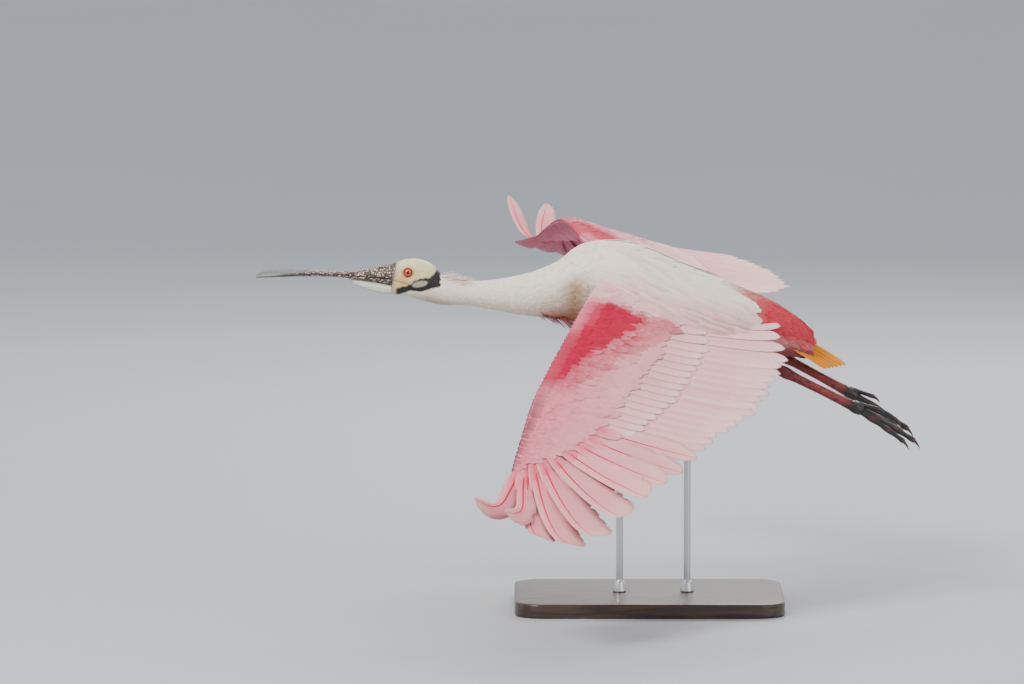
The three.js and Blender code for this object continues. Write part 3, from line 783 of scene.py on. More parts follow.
@dataclass(frozen=True)
class VaneShape:
    """How the width of a feather runs along it, in shares of its width and its length."""

    foot: float
    full: float
    shoulder: float
    rounding: float
    least: float

    def width(self, t: Array) -> Array:
        """Share of the full width.

        Args:
            t: share of the length.

        Returns:
            Share of the width.
        """
        tip = np.sqrt(np.clip(1 - (np.maximum(t - self.shoulder, 0) / self.rounding) ** 2, 0, 1))
        return (self.foot + (1 - self.foot) * smooth(0, self.full, t)) * np.maximum(tip, self.least)


TUFT = VaneShape(foot=0.45, full=0.45, shoulder=0.55, rounding=0.46, least=0.08)
QUILL = VaneShape(foot=0.4, full=0.4, shoulder=0.78, rounding=0.22, least=0.1)


@dataclass
class Plumage:
    """Small feathers laid over a form as overlapping vanes."""

    surface: Surface
    seed: int
    THICK, CAMBER, COLUMNS, LEAST = 0.4, 0.1, 3, 0.07

    def __post_init__(self) -> None:
        """Starts the fixed random numbers."""
        self.random = np.random.default_rng(self.seed)

    def lay(
        self, centre: Array, cross: Array, normal: Array, width: Array, tint: Array, tip: Array,
        place: Array, point: float = 0.0,
    ) -> None:
        """Adds small feathers.

        Args:
            centre: points along each shaft, feathers first.
            cross: unit vectors across.
            normal: unit vectors off the form.
            width: full width of each feather.
            tint: colour of each at its root.
            tip: colour of each at its tip.
            place: place of each root on the unwrap, from 0 to 1.
            point: how pointed the tips are, from 0 to 1.
        """
        count, stations, _ = centre.shape
        t = np.linspace(0, 1, stations)
        roll = self.random.normal(0, 0.05, (count, 1, 1))
        cross, normal = unit(cross + normal * roll), unit(normal - cross * roll)
        shape = (1 - point) * TUFT.width(t) + point * (1 - t) ** 0.8
        half = width[:, None] / 2 * np.maximum(shape, self.LEAST)
        rings, across, _ = blade_rings(centre, cross, normal, half, half, self.THICK, self.CAMBER, self.COLUMNS)
        steps = np.linalg.norm(np.diff(centre, axis=1), axis=2)
        along = np.concatenate([np.zeros((count, 1)), np.cumsum(steps, 1)], 1)
        chance = self.random.random(count)
        lane = np.stack(np.broadcast_arrays(across, along[..., None], chance[:, None, None]), -1)
        light = 1 + self.random.normal(0, 0.04, (count, 1, 1, 1))
        ahead = unit(centre[:, -1:] - centre[:, :1])
        soft = normal[:, :, None] + 0.42 * cross[:, :, None] * (across / (width[:, None, None] / 2))[..., None]
        soft = unit(soft + (0.22 * ahead * t[:, None])[:, :, None])
        colour = blend(tint[:, None, :], tip[:, None, :], np.broadcast_to(t**1.4, (count, stations)))
        boxes = np.concatenate([place, np.full((count, 2), TUFT_PATCH)], 1)
        self.surface.add(rings, colour[:, :, None, :] * light, lane, boxes, soft)


class BodyForm:
    """The smooth form of head, neck, torso and rump, and its markings."""

    WHITE, CREAM, PALE = rgb("FAF0E2"), rgb("F2E0C2"), rgb("F7CFCC")
    PINK, ROSE, RED, DEEP = rgb("EE7F90"), rgb("D8183E"), rgb("C4002C"), rgb("86001A")
    # Of the three colours below, the second is painted shade for the underside of the throat.
    STAIN, SMUDGE, SCAPULAR = rgb("93601F"), rgb("8A7A68"), rgb("F2A3AD")
    CROWN, LORE, JAW, BLACK, PATCH, THROAT = (
        rgb("DDD39C"), rgb("E2B06E"), rgb("E6DFB4"), rgb("15110F"), rgb("A89F92"), rgb("D5D9C4"),
    )

    @staticmethod
    def half_sizes(x: Array) -> tuple[Array, Array, Array]:
        """Height of the middle, half width and half height of the ring at x."""
        top, bottom, half = [read_outline(BODY_OUTLINE, x, c) for c in (1, 2, 3)]
        return (top + bottom) / 2, half, (top - bottom) / 2

    def point(self, x: Array, angle: Array, margin: Array | float = 0.0) -> Array:
        """Points of the form.

        Args:
            x: places along.
            angle: angles round from the top towards the right side.
            margin: how far outside the form.

        Returns:
            The points.
        """
        x, angle = np.broadcast_arrays(np.asarray(x, float), angle)
        middle, half, high = self.half_sizes(x)
        roll = math.radians(BANK) * smooth(ROLL_FROM, ROLL_TO, x)
        a, u = (half + margin) * np.sin(angle), (high + margin) * np.cos(angle)
        across, rise = a * np.cos(roll) - u * np.sin(roll), a * np.sin(roll) + u * np.cos(roll)
        return np.stack([x, across, middle + rise], -1)

    def directions(self, x: Array, angle: Array) -> tuple[Array, Array]:
        """Directions at points of the form.

        Args:
            x: places along.
            angle: angles round from the top.

        Returns:
            Unit vectors across the form and off it.
        """
        along = self.point(x + 1.0, angle) - self.point(x - 1.0, angle)
        cross = unit(self.point(x, angle + 0.02) - self.point(x, angle - 0.02))
        normal = unit(np.cross(along, cross))
        outward = self.point(x, angle, 1.0) - self.point(x, angle, 0.0)
        return cross, normal * np.sign((normal * outward).sum(-1, keepdims=True))

    @staticmethod
    def bare(x: Array, z: Array) -> Array:
        """Where the head is bare, from places along and heights."""
        back = HEAD_BACK + 0.8 * np.sin(z * 0.9) + 0.5 * np.sin(z * 2.3 + 1)
        return (x < back) & ((z > read_outline(BAND_FOOT, x, 1)) | (x < COAT_FRONT))

    @staticmethod
    def gape(x: Array) -> Array:
        """Height of the corner of the mouth at x."""
        return 6.5 - 0.25 * (x + 318)

    def head_colour(self, x: Array, z: Array) -> Array:
        """Markings of the bare head.

        Args:
            x: places along.
            z: heights.

        Returns:
            Colours.
        """
        wave = 0.5 * np.sin(x * 0.83) + 0.45 * np.sin(x * 2.7 + z * 1.3) + 0.35 * np.sin(x * 5.3 - z)
        speck = np.sin(x * 1.9 + z * 1.3) * np.sin(z * 2.3 - x * 0.7) + 0.4 * np.sin(x * 4.1 + z * 3.3)
        fade = smooth(-323, -313, x - 0.2 * (z - 12))
        jaw = smooth(-296, -306, x)
        band = smooth(-0.6, 0.6, read_outline(BAND_TOP, x, 1) + wave - z) * smooth(-320, -315, x)
        above = z - read_outline(BAND_FOOT, x, 1) - 0.5 * wave
        lean = z - 2.8 - 0.18 * (x + 286)
        return layered(
            self.CROWN,
            (self.JAW, smooth(14, 30, z)),
            (self.LORE, 0.75 * hump(x, -309, 12) * hump(z, 6, 12)),
            (self.LORE * 0.8, 0.3 * hump(np.hypot(x - EYE_X, z - EYE_Z), 8, 2.5)),
            (Head.HORN, 0.7 * (1 - fade)),
            (self.BLACK, 0.95 * smooth(-0.1, 0.1, speck + 0.75 - 2.1 * fade)),
            (self.STAIN * 0.6, 0.55 * hump(z, self.gape(x), 1.2) * jaw),
            (self.THROAT, smooth(-7, -12, z) * jaw),
            (self.BLACK, band * smooth(-0.6, 0.6, above)),
            (self.THROAT, smooth(0.6, -0.6, above)),
            (self.PATCH, smooth(1.1, 0.8, np.hypot((x + 286) / 10.6, lean / 4.2))),
        )

    def colour(self, x: Array, angle: Array) -> Array:
        """Markings of skin and coat alike, and painted shade under the throat.

        Args:
            x: places along.
            angle: angles round from the top.

        Returns:
            Colours.
        """
        x, angle = np.broadcast_arrays(np.asarray(x, float), angle)
        level, flank = np.cos(angle), np.abs(np.sin(angle))
        colour = layered(
            self.WHITE,
            (self.CREAM, 0.6 * smooth(0.2, -0.8, level) * smooth(-60, -130, x)),
            # painted shade: grey-brown on the underside of the throat just behind the head
            (self.SMUDGE, 0.55 * hump(x, -262, 26) * smooth(-0.5, -0.95, level)),
            (self.PALE, 0.9 * smooth(-70, 40, x) * smooth(0.75, 0.2, level)),
            (self.SCAPULAR, 0.85 * hump(x, 50, 70) * smooth(0.15, 0.75, flank) * smooth(-0.2, 0.3, level)),
            (self.PINK, 0.9 * smooth(0.15, -0.65, level) * smooth(-95, 10, x)),
            (self.ROSE, 0.85 * hump(x, -98, 26) * smooth(0.0, -0.75, level)),
            (self.STAIN, 0.95 * hump(x, -83, 17) * smooth(0.8, 0.35, level) * smooth(-0.98, -0.6, level)),
            (self.STAIN, 0.3 * hump(x, -112, 20) * smooth(0.7, 0.0, level)),
            (self.RED, smooth(104, 152, x) * smooth(-0.5, 0.3, level)),
            (self.DEEP, 0.92 * smooth(105, 155, x) * smooth(0.15, -0.5, level)),
            (self.RED, 0.35 * hump(x, -238, 14) * smooth(0.5, 0.95, level)),
        )
        z = self.point(x, angle)[..., 2]
        return np.where(self.bare(x, z)[..., None], self.head_colour(x, z), colour)


@dataclass
class Body:
    """One skin from the face to the rump, with its coat, plumes and tuft."""

    form: BodyForm = field(default_factory=BodyForm)
    # Feather lengths along the body, and how far rows and neighbours stand apart as shares of them.
    COAT_LENGTHS = [
        [-300, 4.4], [-262, 6], [-178, 9], [-100, 13], [-40, 19], [60, 23], [150, 20], [190, 17], [226, 15],
    ]
    ROW_STEP, FEATHER_STEP = 0.36, 0.27

    def skin(self) -> None:
        """Builds the seamless skin, inside by the coat's depth where a coat covers it."""
        xs = np.concatenate([np.arange(HEAD_FRONT, -256, 0.8), np.arange(-256, RUMP_END, 2.4), [RUMP_END]])
        x, angle = np.meshgrid(xs, circle(128), indexing="ij")
        cover = np.where(self.form.bare(x, self.form.point(x, angle)[..., 2]), 0.0, 1.0)
        points = self.form.point(x, angle, -1.1 * cover)
        across, z = points[..., 1], points[..., 2]
        outward, cheek = np.sign(across), np.abs(across) > 6
        distance = np.hypot(x - EYE_X, z - EYE_Z)
        across = across + smooth(9.5, 6.0, distance) * cheek * (outward * 13.6 - across)
        across = across + 0.7 * hump(distance, 11, 2.2) * outward * cheek
        gape = hump(z, self.form.gape(x), 1.1) * smooth(-296, -308, x)
        points[..., 1] = across - outward * 0.9 * gape * (np.abs(across) > 4)
        surface = Surface("body_skin").add(points, self.form.colour(x, angle), points)
        surface.build(BARE, "body_plumage", "head", "neck_upper", "neck_lower", "torso")

    def coat(self, name: str, start: float, end: float, seed: int) -> None:
        """Builds the coat of a stretch of the body.

        Args:
            name: name of the piece.
            start: where its rows begin.
            end: where they end.
            seed: seed of its random numbers.
        """
        plumage = Plumage(Surface(name), seed)
        random, x, shift = plumage.random, start, 0
        while x < end:
            length = float(read_outline(self.COAT_LENGTHS, x, 1))
            middle, half, high = self.form.half_sizes(np.array(x))
            round_about = math.pi * (3 * (half + high) - math.sqrt((3 * half + high) * (half + 3 * high)))
            count = max(12, int(round_about / (self.FEATHER_STEP * length)))
            angle = (np.arange(count) + 0.5 * (shift % 2)) / count * TURN + random.normal(0, 0.012, count)
            place = x + random.normal(0, 0.1 * length, count)
            keep = ~self.form.bare(place, self.form.point(place, angle)[..., 2])
            keep &= place > COAT_FRONT
            self.row(plumage, place[keep], angle[keep], length)
            x += self.ROW_STEP * length
            shift += 1
        plumage.surface.build(SOFT, "body_plumage")

    def row(self, plumage: Plumage, place: Array, angle: Array, length: float) -> None:
        """Adds one row of feathers.

        Args:
            plumage: where they go.
            place: x of the roots.
            angle: angles of the roots.
            length: their length.
        """
        if not len(place):
            return
        random, count = plumage.random, len(place)
        size = 1.35 * length * (1 + random.normal(0, 0.08, count))
        t = np.linspace(0, 1, 5)
        slant = np.maximum(0.4, 1 - 0.1 * np.abs(np.cos(angle)))
        x = np.minimum(place[:, None] + size[:, None] * slant[:, None] * t, RUMP_END + 2 * t)
        turn = angle[:, None] + random.normal(0, 0.03, (count, 1)) * t
        lift = -0.9 + (1.2 + np.abs(random.normal(0, 0.016 * length, (count, 1)))) * t
        centre = self.form.point(x, turn, lift)
        cross, normal = self.form.directions(x, turn)
        tint, tip = self.form.colour(place, angle), self.form.colour(place + size, angle)
        tip = blend(tip, BodyForm.WHITE, 0.08)
        box = np.stack([on_map((place - HEAD_FRONT) / BODY_LENGTH), round_map(angle)], -1)
        plumage.lay(centre, cross, normal, 0.5 * size, tint * 0.97, tip, box, 0.25)

    def plumes(self) -> None:
        """Builds the pointed plumes under the lower neck and the loose tuft on the nape."""
        plumage = Plumage(Surface("coat_plumes"), 31)
        random, t = plumage.random, np.linspace(0, 1, 7)
        for i in range(9):
            share = i / 8
            x = -138 + 41 * share
            swing = math.radians(26 * math.sin(i * 2.4))
            _, half, _ = self.form.half_sizes(np.array(x))
            bottom = float(read_outline(BODY_OUTLINE, x, 2))
            axes = Axes.at(22 + 20 * share, 0)
            count = 10
            place = np.array([x, 0.45 * float(half) * math.sin(swing * 3), bottom + 6])
            root = place + random.normal(0, 1.7, (count, 3))
            length = (20 + 14 * share) * (0.66 + 0.36 * random.random(count))
            stray = axes.right * random.normal(0, 0.09, (count, 1))
            stray = stray + axes.up * random.normal(0, 0.05, (count, 1))
            heading = unit(stray - axes.fore)
            centre = root[:, None] + heading[:, None] * (length[:, None] * t)[..., None]
            centre = centre - axes.up * (0.12 * length[:, None] * t**2)[..., None]
            cross, normal = np.broadcast_to(axes.right, centre.shape), np.broadcast_to(axes.up, centre.shape)
            tint = blend(BodyForm.ROSE, BodyForm.PALE, 0.5 * random.random(count))
            box = np.tile([0.34 + 0.01 * i, 0.5], (count, 1))
            tip = blend(tint, BodyForm.PINK, 0.4)
            plumage.lay(centre, cross, normal, np.full(count, 3.2), tint, tip, box, 0.8)
        count = 90
        x, angle = random.uniform(-259, -226, count), random.normal(0, 0.42, count)
        length = random.uniform(9, 17, count)
        root = self.form.point(x, angle, -0.5)
        _, normal = self.form.directions(x, angle)
        stray = normal * random.uniform(0.15, 0.5, (count, 1)) + random.normal(0, 0.1, (count, 3))
        heading = unit(np.array([1.0, 0, 0]) + stray)
        centre = root[:, None] + heading[:, None] * (length[:, None] * t)[..., None]
        centre[..., 2] -= 0.1 * length[:, None] * t**2
        side = unit(np.cross(heading, normal))
        tint = blend(BodyForm.WHITE, BodyForm.ROSE, 0.5 * (random.random(count) > 0.72) * smooth(-252, -236, x))
        box = np.stack([(x - HEAD_FRONT) / BODY_LENGTH, np.full(count, 0.03)], -1)
        shape = centre.shape
        plumage.lay(centre, np.broadcast_to(side[:, None], shape), np.broadcast_to(normal[:, None], shape),
                    np.full(count, 1.5), tint, blend(tint, BodyForm.PALE, 0.5), box, 0.7)
        plumage.surface.build(SOFT, "body_plumage")

    def scapulars(self) -> None:
        """Builds the long soft feathers that run from the shoulders over the flanks and the wing roots."""
        plumage = Plumage(Surface("coat_scapulars"), 17)
        random, t = plumage.random, np.linspace(0, 1, 10)
        for side in Side:
            for k in range(9):
                spread = np.linspace(0.3, 1.95 - 0.03 * k, 15)
                count = len(spread)
                spread = spread + random.normal(0, 0.03, count)
                place = -62 + 15 * k + random.normal(0, 3, count) + 14 * smooth(0.5, 1.9, spread)
                size = (54 + 4.5 * k) * (1 + random.normal(0, 0.06, count))
                x = place[:, None] + size[:, None] * t
                angle = side.value * (spread[:, None] + 0.12 * t)
                raised = 2.2 + 6.5 * hump(spread, 1.35, 0.45) * smooth(90, 20, place)
                raised = raised + 12 * smooth(1.05, 1.6, spread) * smooth(-10, 50, place)
                lift = -0.6 + (raised[:, None] - 0.08 * k) * np.sin(t * 1.9)
                centre = self.form.point(x, angle, lift)
                cross, normal = self.form.directions(x, angle)
                rosy = 0.1 + 0.85 * smooth(0.5, 1.5, spread) + random.normal(0, 0.15, count)
                tint = blend(BodyForm.WHITE, BodyForm.PALE, np.clip(rosy, 0, 1))
                deeper = np.clip(random.normal(0.3, 0.2, count), 0, 0.8) * smooth(0.4, 1.2, spread)
                tip = blend(tint, BodyForm.SCAPULAR, deeper)
                box = np.stack([(place - HEAD_FRONT) / BODY_LENGTH, round_map(angle[:, 0])], -1)
                plumage.lay(centre, cross, normal, 0.22 * size + 3, tint, tip, box, 0.2)
        plumage.surface.build(VANED, "body_plumage")

    def build(self) -> None:
        """Builds every piece of the body."""
        self.skin()
        self.scapulars()
        self.coat("coat_neck", COAT_FRONT, -104, 11)
        self.coat("coat_breast", -104, 30, 12)
        self.coat("coat_rump", 30, 222, 13)
        self.plumes()


@dataclass
class Head:
    """Bill, pouch, eyes and lids."""

    TIP, EDGE, HORN, MOUTH = rgb("56656C"), rgb("C9AE9E"), rgb("E6C4B0"), rgb("120E0D")
    GREEN, PALE = rgb("C9D2BC"), rgb("E4E6D4")
    # Of the four colours below, the third is a painted highlight round the pupil.
    IRIS, IRIS_DEEP, IRIS_RING, PUPIL = rgb("E03020"), rgb("A80C0A"), rgb("F0A080"), rgb("060608")
    EYE_EDGE, LID_EDGE = rgb("1C0808"), rgb("1A0D0A")

    def bill_half(self, name: str, column: int, sign: int) -> None:
        """Builds the upper or the lower half of the bill.

        Args:
            name: name of the piece and of the node it stands for.
            column: column of the outer edge in the outline.
            sign: 1 for the upper half and -1 for the lower.
        """
        steps, arc, flat = 150, 40, 14
        share = np.linspace(0, 1, steps) ** 1.15
        x = BILL_OUTLINE[0][0] + share * (BILL_OUTLINE[-1][0] + BILL_OVERLAP - BILL_OUTLINE[0][0])
        mouth, outer, half = [read_outline(BILL_OUTLINE, x, c)[:, None] for c in (2, column, 4)]
        mouth = mouth + sign * 0.15
        a = np.linspace(0, math.pi, arc)[None]
        rise = np.sin(a) ** 0.8
        side = np.abs(np.cos(a))
        ridge = 0.1 * hump(side, 0.0, 0.1) * (sign > 0) * smooth(-440, -480, x[:, None])
        groove = 0.16 * hump(side, 0.8, 0.06) + ridge
        z = mouth + (outer - mouth) * rise * (1 - groove * (rise > 0.05))
        y = half * np.cos(a)
        inner = np.linspace(-0.96, 0.96, flat)[None]
        points = np.concatenate([
            np.stack([np.broadcast_to(x[:, None], z.shape), y, z], -1),
            np.stack(np.broadcast_arrays(x[:, None], half * inner, mouth + sign * 0.3 * (1 - inner**2)), -1),
        ], 1)
        wide, z_all, y_all = points[..., 0], points[..., 2], points[..., 1]
        crest = hump(z_all, float(outer.max()), 2.0) * smooth(-365, -335, wide) * (sign > 0)
        tint = layered(
            self.TIP,
            (self.HORN, smooth(-468, -395, wide)),
            (self.EDGE, 0.5 * smooth(0.7, 1.0, np.abs(y_all) / half) * smooth(-440, -480, wide)),
            (self.TIP * 0.55, 0.7 * crest),
            (self.MOUTH, 0.92 * smooth(0.16, 0.04, np.abs(z_all - mouth) / np.abs(outer - mouth))),
        )
        if sign > 0:
            slot = np.hypot((wide + 338) / 5.2, (np.abs(y_all) - 4.9) / 1.5)
            tint = blend(tint, self.MOUTH, smooth(1.1, 0.8, slot))
            points[..., 2] -= 0.9 * smooth(1.15, 0.6, slot) * (points[..., 2] > mouth + 3)
        Surface(name + "_horn").add(points, tint, points).build(BILL, "bill", name)

    def pouch(self) -> None:
        """Builds the pouch of bare skin under the lower bill."""
        x = np.linspace(POUCH_OUTLINE[0][0], POUCH_OUTLINE[-1][0], 60)[:, None]
        depth, half = read_outline(POUCH_OUTLINE, x, 1), read_outline(POUCH_OUTLINE, x, 2)
        bottom, top = read_outline(BILL_OUTLINE, x, 3) - depth, read_outline(BILL_OUTLINE, x, 3) + 0.4
        a = circle(48)[None]
        z = (top + bottom) / 2 + (top - bottom) / 2 * np.cos(a)
        fold = 0.18 * np.sin(z * 2.2 + x * 0.18)
        points = np.stack(np.broadcast_arrays(x, (half + fold) * np.sin(a), z), -1)
        tint = blend(self.GREEN, self.PALE, 0.5 + 0.5 * np.sin(z * 1.3 + x * 0.12))
        tint = blend(tint, BodyForm.LORE * 0.7, 0.4 * smooth(-3, -6, z - bottom - 6))
        Surface("pouch_skin").add(points, tint, points).build(POUCH, "bare_skin", "gular_pouch")

    def eye(self, side: Side) -> None:
        """Builds an eyeball and the lid round it.

        Args:
            side: which eye.
        """
        word = side.name.lower()
        polar, turn = np.linspace(0.01, math.pi - 0.01, 56)[:, None], circle(64)[None]
        radius = EYE_RADIUS * np.sin(polar)
        outward = side.value * (EYE_DEPTH + EYE_RADIUS * np.cos(polar))
        points = np.broadcast_arrays(EYE_X + radius * np.cos(turn), outward, EYE_Z + radius * np.sin(turn))
        points = np.stack(points, -1)
        spot = np.broadcast_to(radius, points.shape[:2])
        rays = 0.5 + 0.5 * np.sin(turn * 31) * np.sin(turn * 13 + 1)
        tint = layered(
            self.IRIS,
            (self.IRIS_DEEP, 0.4 * rays * smooth(1.8, 4.5, spot)),
            # painted highlight: a bright ring round the pupil
            (self.IRIS_RING, 0.2 * hump(spot, 2.45, 0.3)),
            (self.PUPIL, smooth(2.4, 2.1, spot)),
            (self.EYE_EDGE, smooth(4.7, 5.3, spot)),
        )
        Surface(f"eyeball_{word}").add(points, tint, points).build(EYE, "eye", f"eye_{word}")
        lid, round_rim = np.linspace(0, TURN, 73)[:, None], circle(16)[None]
        thick = 0.95 + 0.15 * np.sin(lid * 2)
        ring = 6.35 + thick * np.cos(round_rim)
        outward = side.value * (14.6 + thick * np.sin(round_rim))
        points = np.broadcast_arrays(EYE_X + ring * np.cos(lid), outward, EYE_Z + ring * np.sin(lid))
        points = np.stack(points, -1)
        inner = smooth(0.0, 0.8, -np.cos(round_rim) * np.ones_like(lid))
        tint = blend(BodyForm.LORE * 0.85, self.LID_EDGE, inner)
        Surface(f"eyelid_{word}").add(points, tint, points).build(BARE, "bare_skin")

    def build(self) -> None:
        """Builds every piece of the head."""
        self.bill_half("bill_upper", 1, 1)
        self.bill_half("bill_lower", 3, -1)
        self.pouch()
        for side in Side:
            self.eye(side)


@dataclass(frozen=True)
class WingPose:
    """How one wing is held: droop of arm and hand, swing back, and bend and turn of the primaries."""

    arm: float
    hand: float
    swing: float
    inner: float
    outer: float
    slotted: float
    turn: tuple[float, float]


POSES = {
    Side.LEFT: WingPose(22, 27, 0, 10, 58, 47, (44, 48)),
    Side.RIGHT: WingPose(19, 48, 39, 4, 40, 50, (-12, 2)),
}


@dataclass(frozen=True)
class Quill:
    """One large feather: its root, direction and shape."""

    root: Array
    azimuth: float
    droop: float
    length: float
    lead: float
    trail: float
    bend: tuple[float, float] = (0.0, 0.0)
    turn: float = 0.0
    early: bool = False
    tilt: float = 6.0
    shaft: float = 1.0
    stations: int = 40

    def frames(self, out: Array, fore: Array, up: Array, t: Array) -> tuple[Array, Array, Array]:
        """Directions along the feather.

        Args:
            out: outwards.
            fore: forwards.
            up: upwards.
            t: shares of its length.

        Returns:
            Unit vectors along, across and off its face.
        """
        slope = math.radians(self.droop)
        outward = out * math.cos(slope) - up * math.sin(slope)
        above = up * math.cos(slope) + out * math.sin(slope)
        angle = np.radians(self.azimuth + self.turn * smooth(0.35, 1, t))[:, None]
        share = 1 - (1 - t) ** 2 if self.early else t
        lift = np.radians(self.bend[0] + (self.bend[1] - self.bend[0]) * share)[:, None]
        flat = outward * np.cos(angle) + fore * np.sin(angle)
        cross = -outward * np.sin(angle) + fore * np.cos(angle)
        normal = above * np.cos(lift) - flat * np.sin(lift)
        lean = math.radians(self.tilt)
        return (
            flat * np.cos(lift) + above * np.sin(lift),
            cross * math.cos(lean) + normal * math.sin(lean),
            normal * math.cos(lean) - cross * math.sin(lean),
        )


@dataclass
class QuillRow:
    """Large feathers put into one surface, each with a raised shaft and its own island of the bake map."""

    surface: Surface
    total: int
    seed: int
    made: int = 0

    def __post_init__(self) -> None:
        """Starts the fixed random numbers."""
        self.random = np.random.default_rng(self.seed)

    def lay(self, quill: Quill, out: Array, fore: Array, up: Array, paint: "Paint") -> None:
        """Adds one feather.

        Args:
            quill: the feather.
            out: outwards.
            fore: forwards.
            up: upwards.
            paint: its colours.
        """
        t = np.linspace(0, 1, quill.stations)
        along, _, _ = quill.frames(out, fore, up, (t[1:] + t[:-1]) / 2)
        walked = np.concatenate([np.zeros((1, 3)), np.cumsum(along, 0)])
        centre = quill.root + walked * quill.length / (quill.stations - 1)
        _, cross, normal = quill.frames(out, fore, up, t)
        width, ragged = QUILL.width(t), np.ones_like(t)
        for place in self.random.uniform(0.35, 0.96, 4):
            ragged = ragged - self.random.uniform(0.04, 0.2) * hump(t, place, 0.014)
        rings, across, face = blade_rings(
            centre, cross, normal, quill.lead * width, quill.trail * width * ragged, 0.6, 0.07, 6
        )
        seed, length = self.random.random(), (t * quill.length)[:, None]
        share = np.where(across > 0, across / quill.lead, across / quill.trail)
        lane = np.stack(np.broadcast_arrays(across, length, seed), -1)
        slot = self.made / self.total
        box = np.array([[slot + 0.001, 0.01, 0.86 / self.total, 0.96]])
        light = 1 + self.random.normal(0, 0.03)
        tint = paint.vane(share, np.broadcast_to(t[:, None], across.shape), face) * light
        self.surface.add(rings, tint, lane, box)
        turn = circle(6)
        radius = (quill.shaft * (1 - 0.86 * t))[:, None, None]
        spoke = cross[:, None] * np.cos(turn)[:, None] + normal[:, None] * np.sin(turn)[:, None]
        stem = (centre + normal * 0.25)[:, None] + spoke * radius
        lane = np.stack(np.broadcast_arrays(np.zeros(len(turn)), length, seed), -1)
        box = np.array([[slot + 0.88 / self.total, 0.01, 0.08 / self.total, 0.96]])
        self.surface.add(stem, blend(paint.stem, paint.stem_tip, t**1.5)[:, None], lane, box)
        self.made += 1


@dataclass(frozen=True)
class Paint:
    """Colours of one large feather."""

    base: Array
    edge: Array
    tip: Array
    # colour of the lower face, painted shade
    under: Array
    stem: Array
    stem_tip: Array
    root: Array
    edging: float = 0.6
    tipping: float = 0.6

    def vane(self, share: Array, t: Array, face: Array) -> Array:
        """Colours over the vane.

        Args:
            share: place across, from -1 behind to 1 before the shaft.
            t: place along.
            face: 1 above and -1 below.

        Returns:
            Colours.
        """
        return layered(
            self.root,
            (self.base, smooth(0.0, 0.4, t)),
            (self.edge, self.edging * smooth(0.35, 0.95, np.abs(share)) * smooth(0.1, 0.5, t)),
            (self.tip, self.tipping * smooth(0.72, 1.0, t + 0.03 * np.sin(share * 9))),
            # the lower face is darkened towards under, painted shade
            (self.under, 0.65 * (face < 0)),
        )


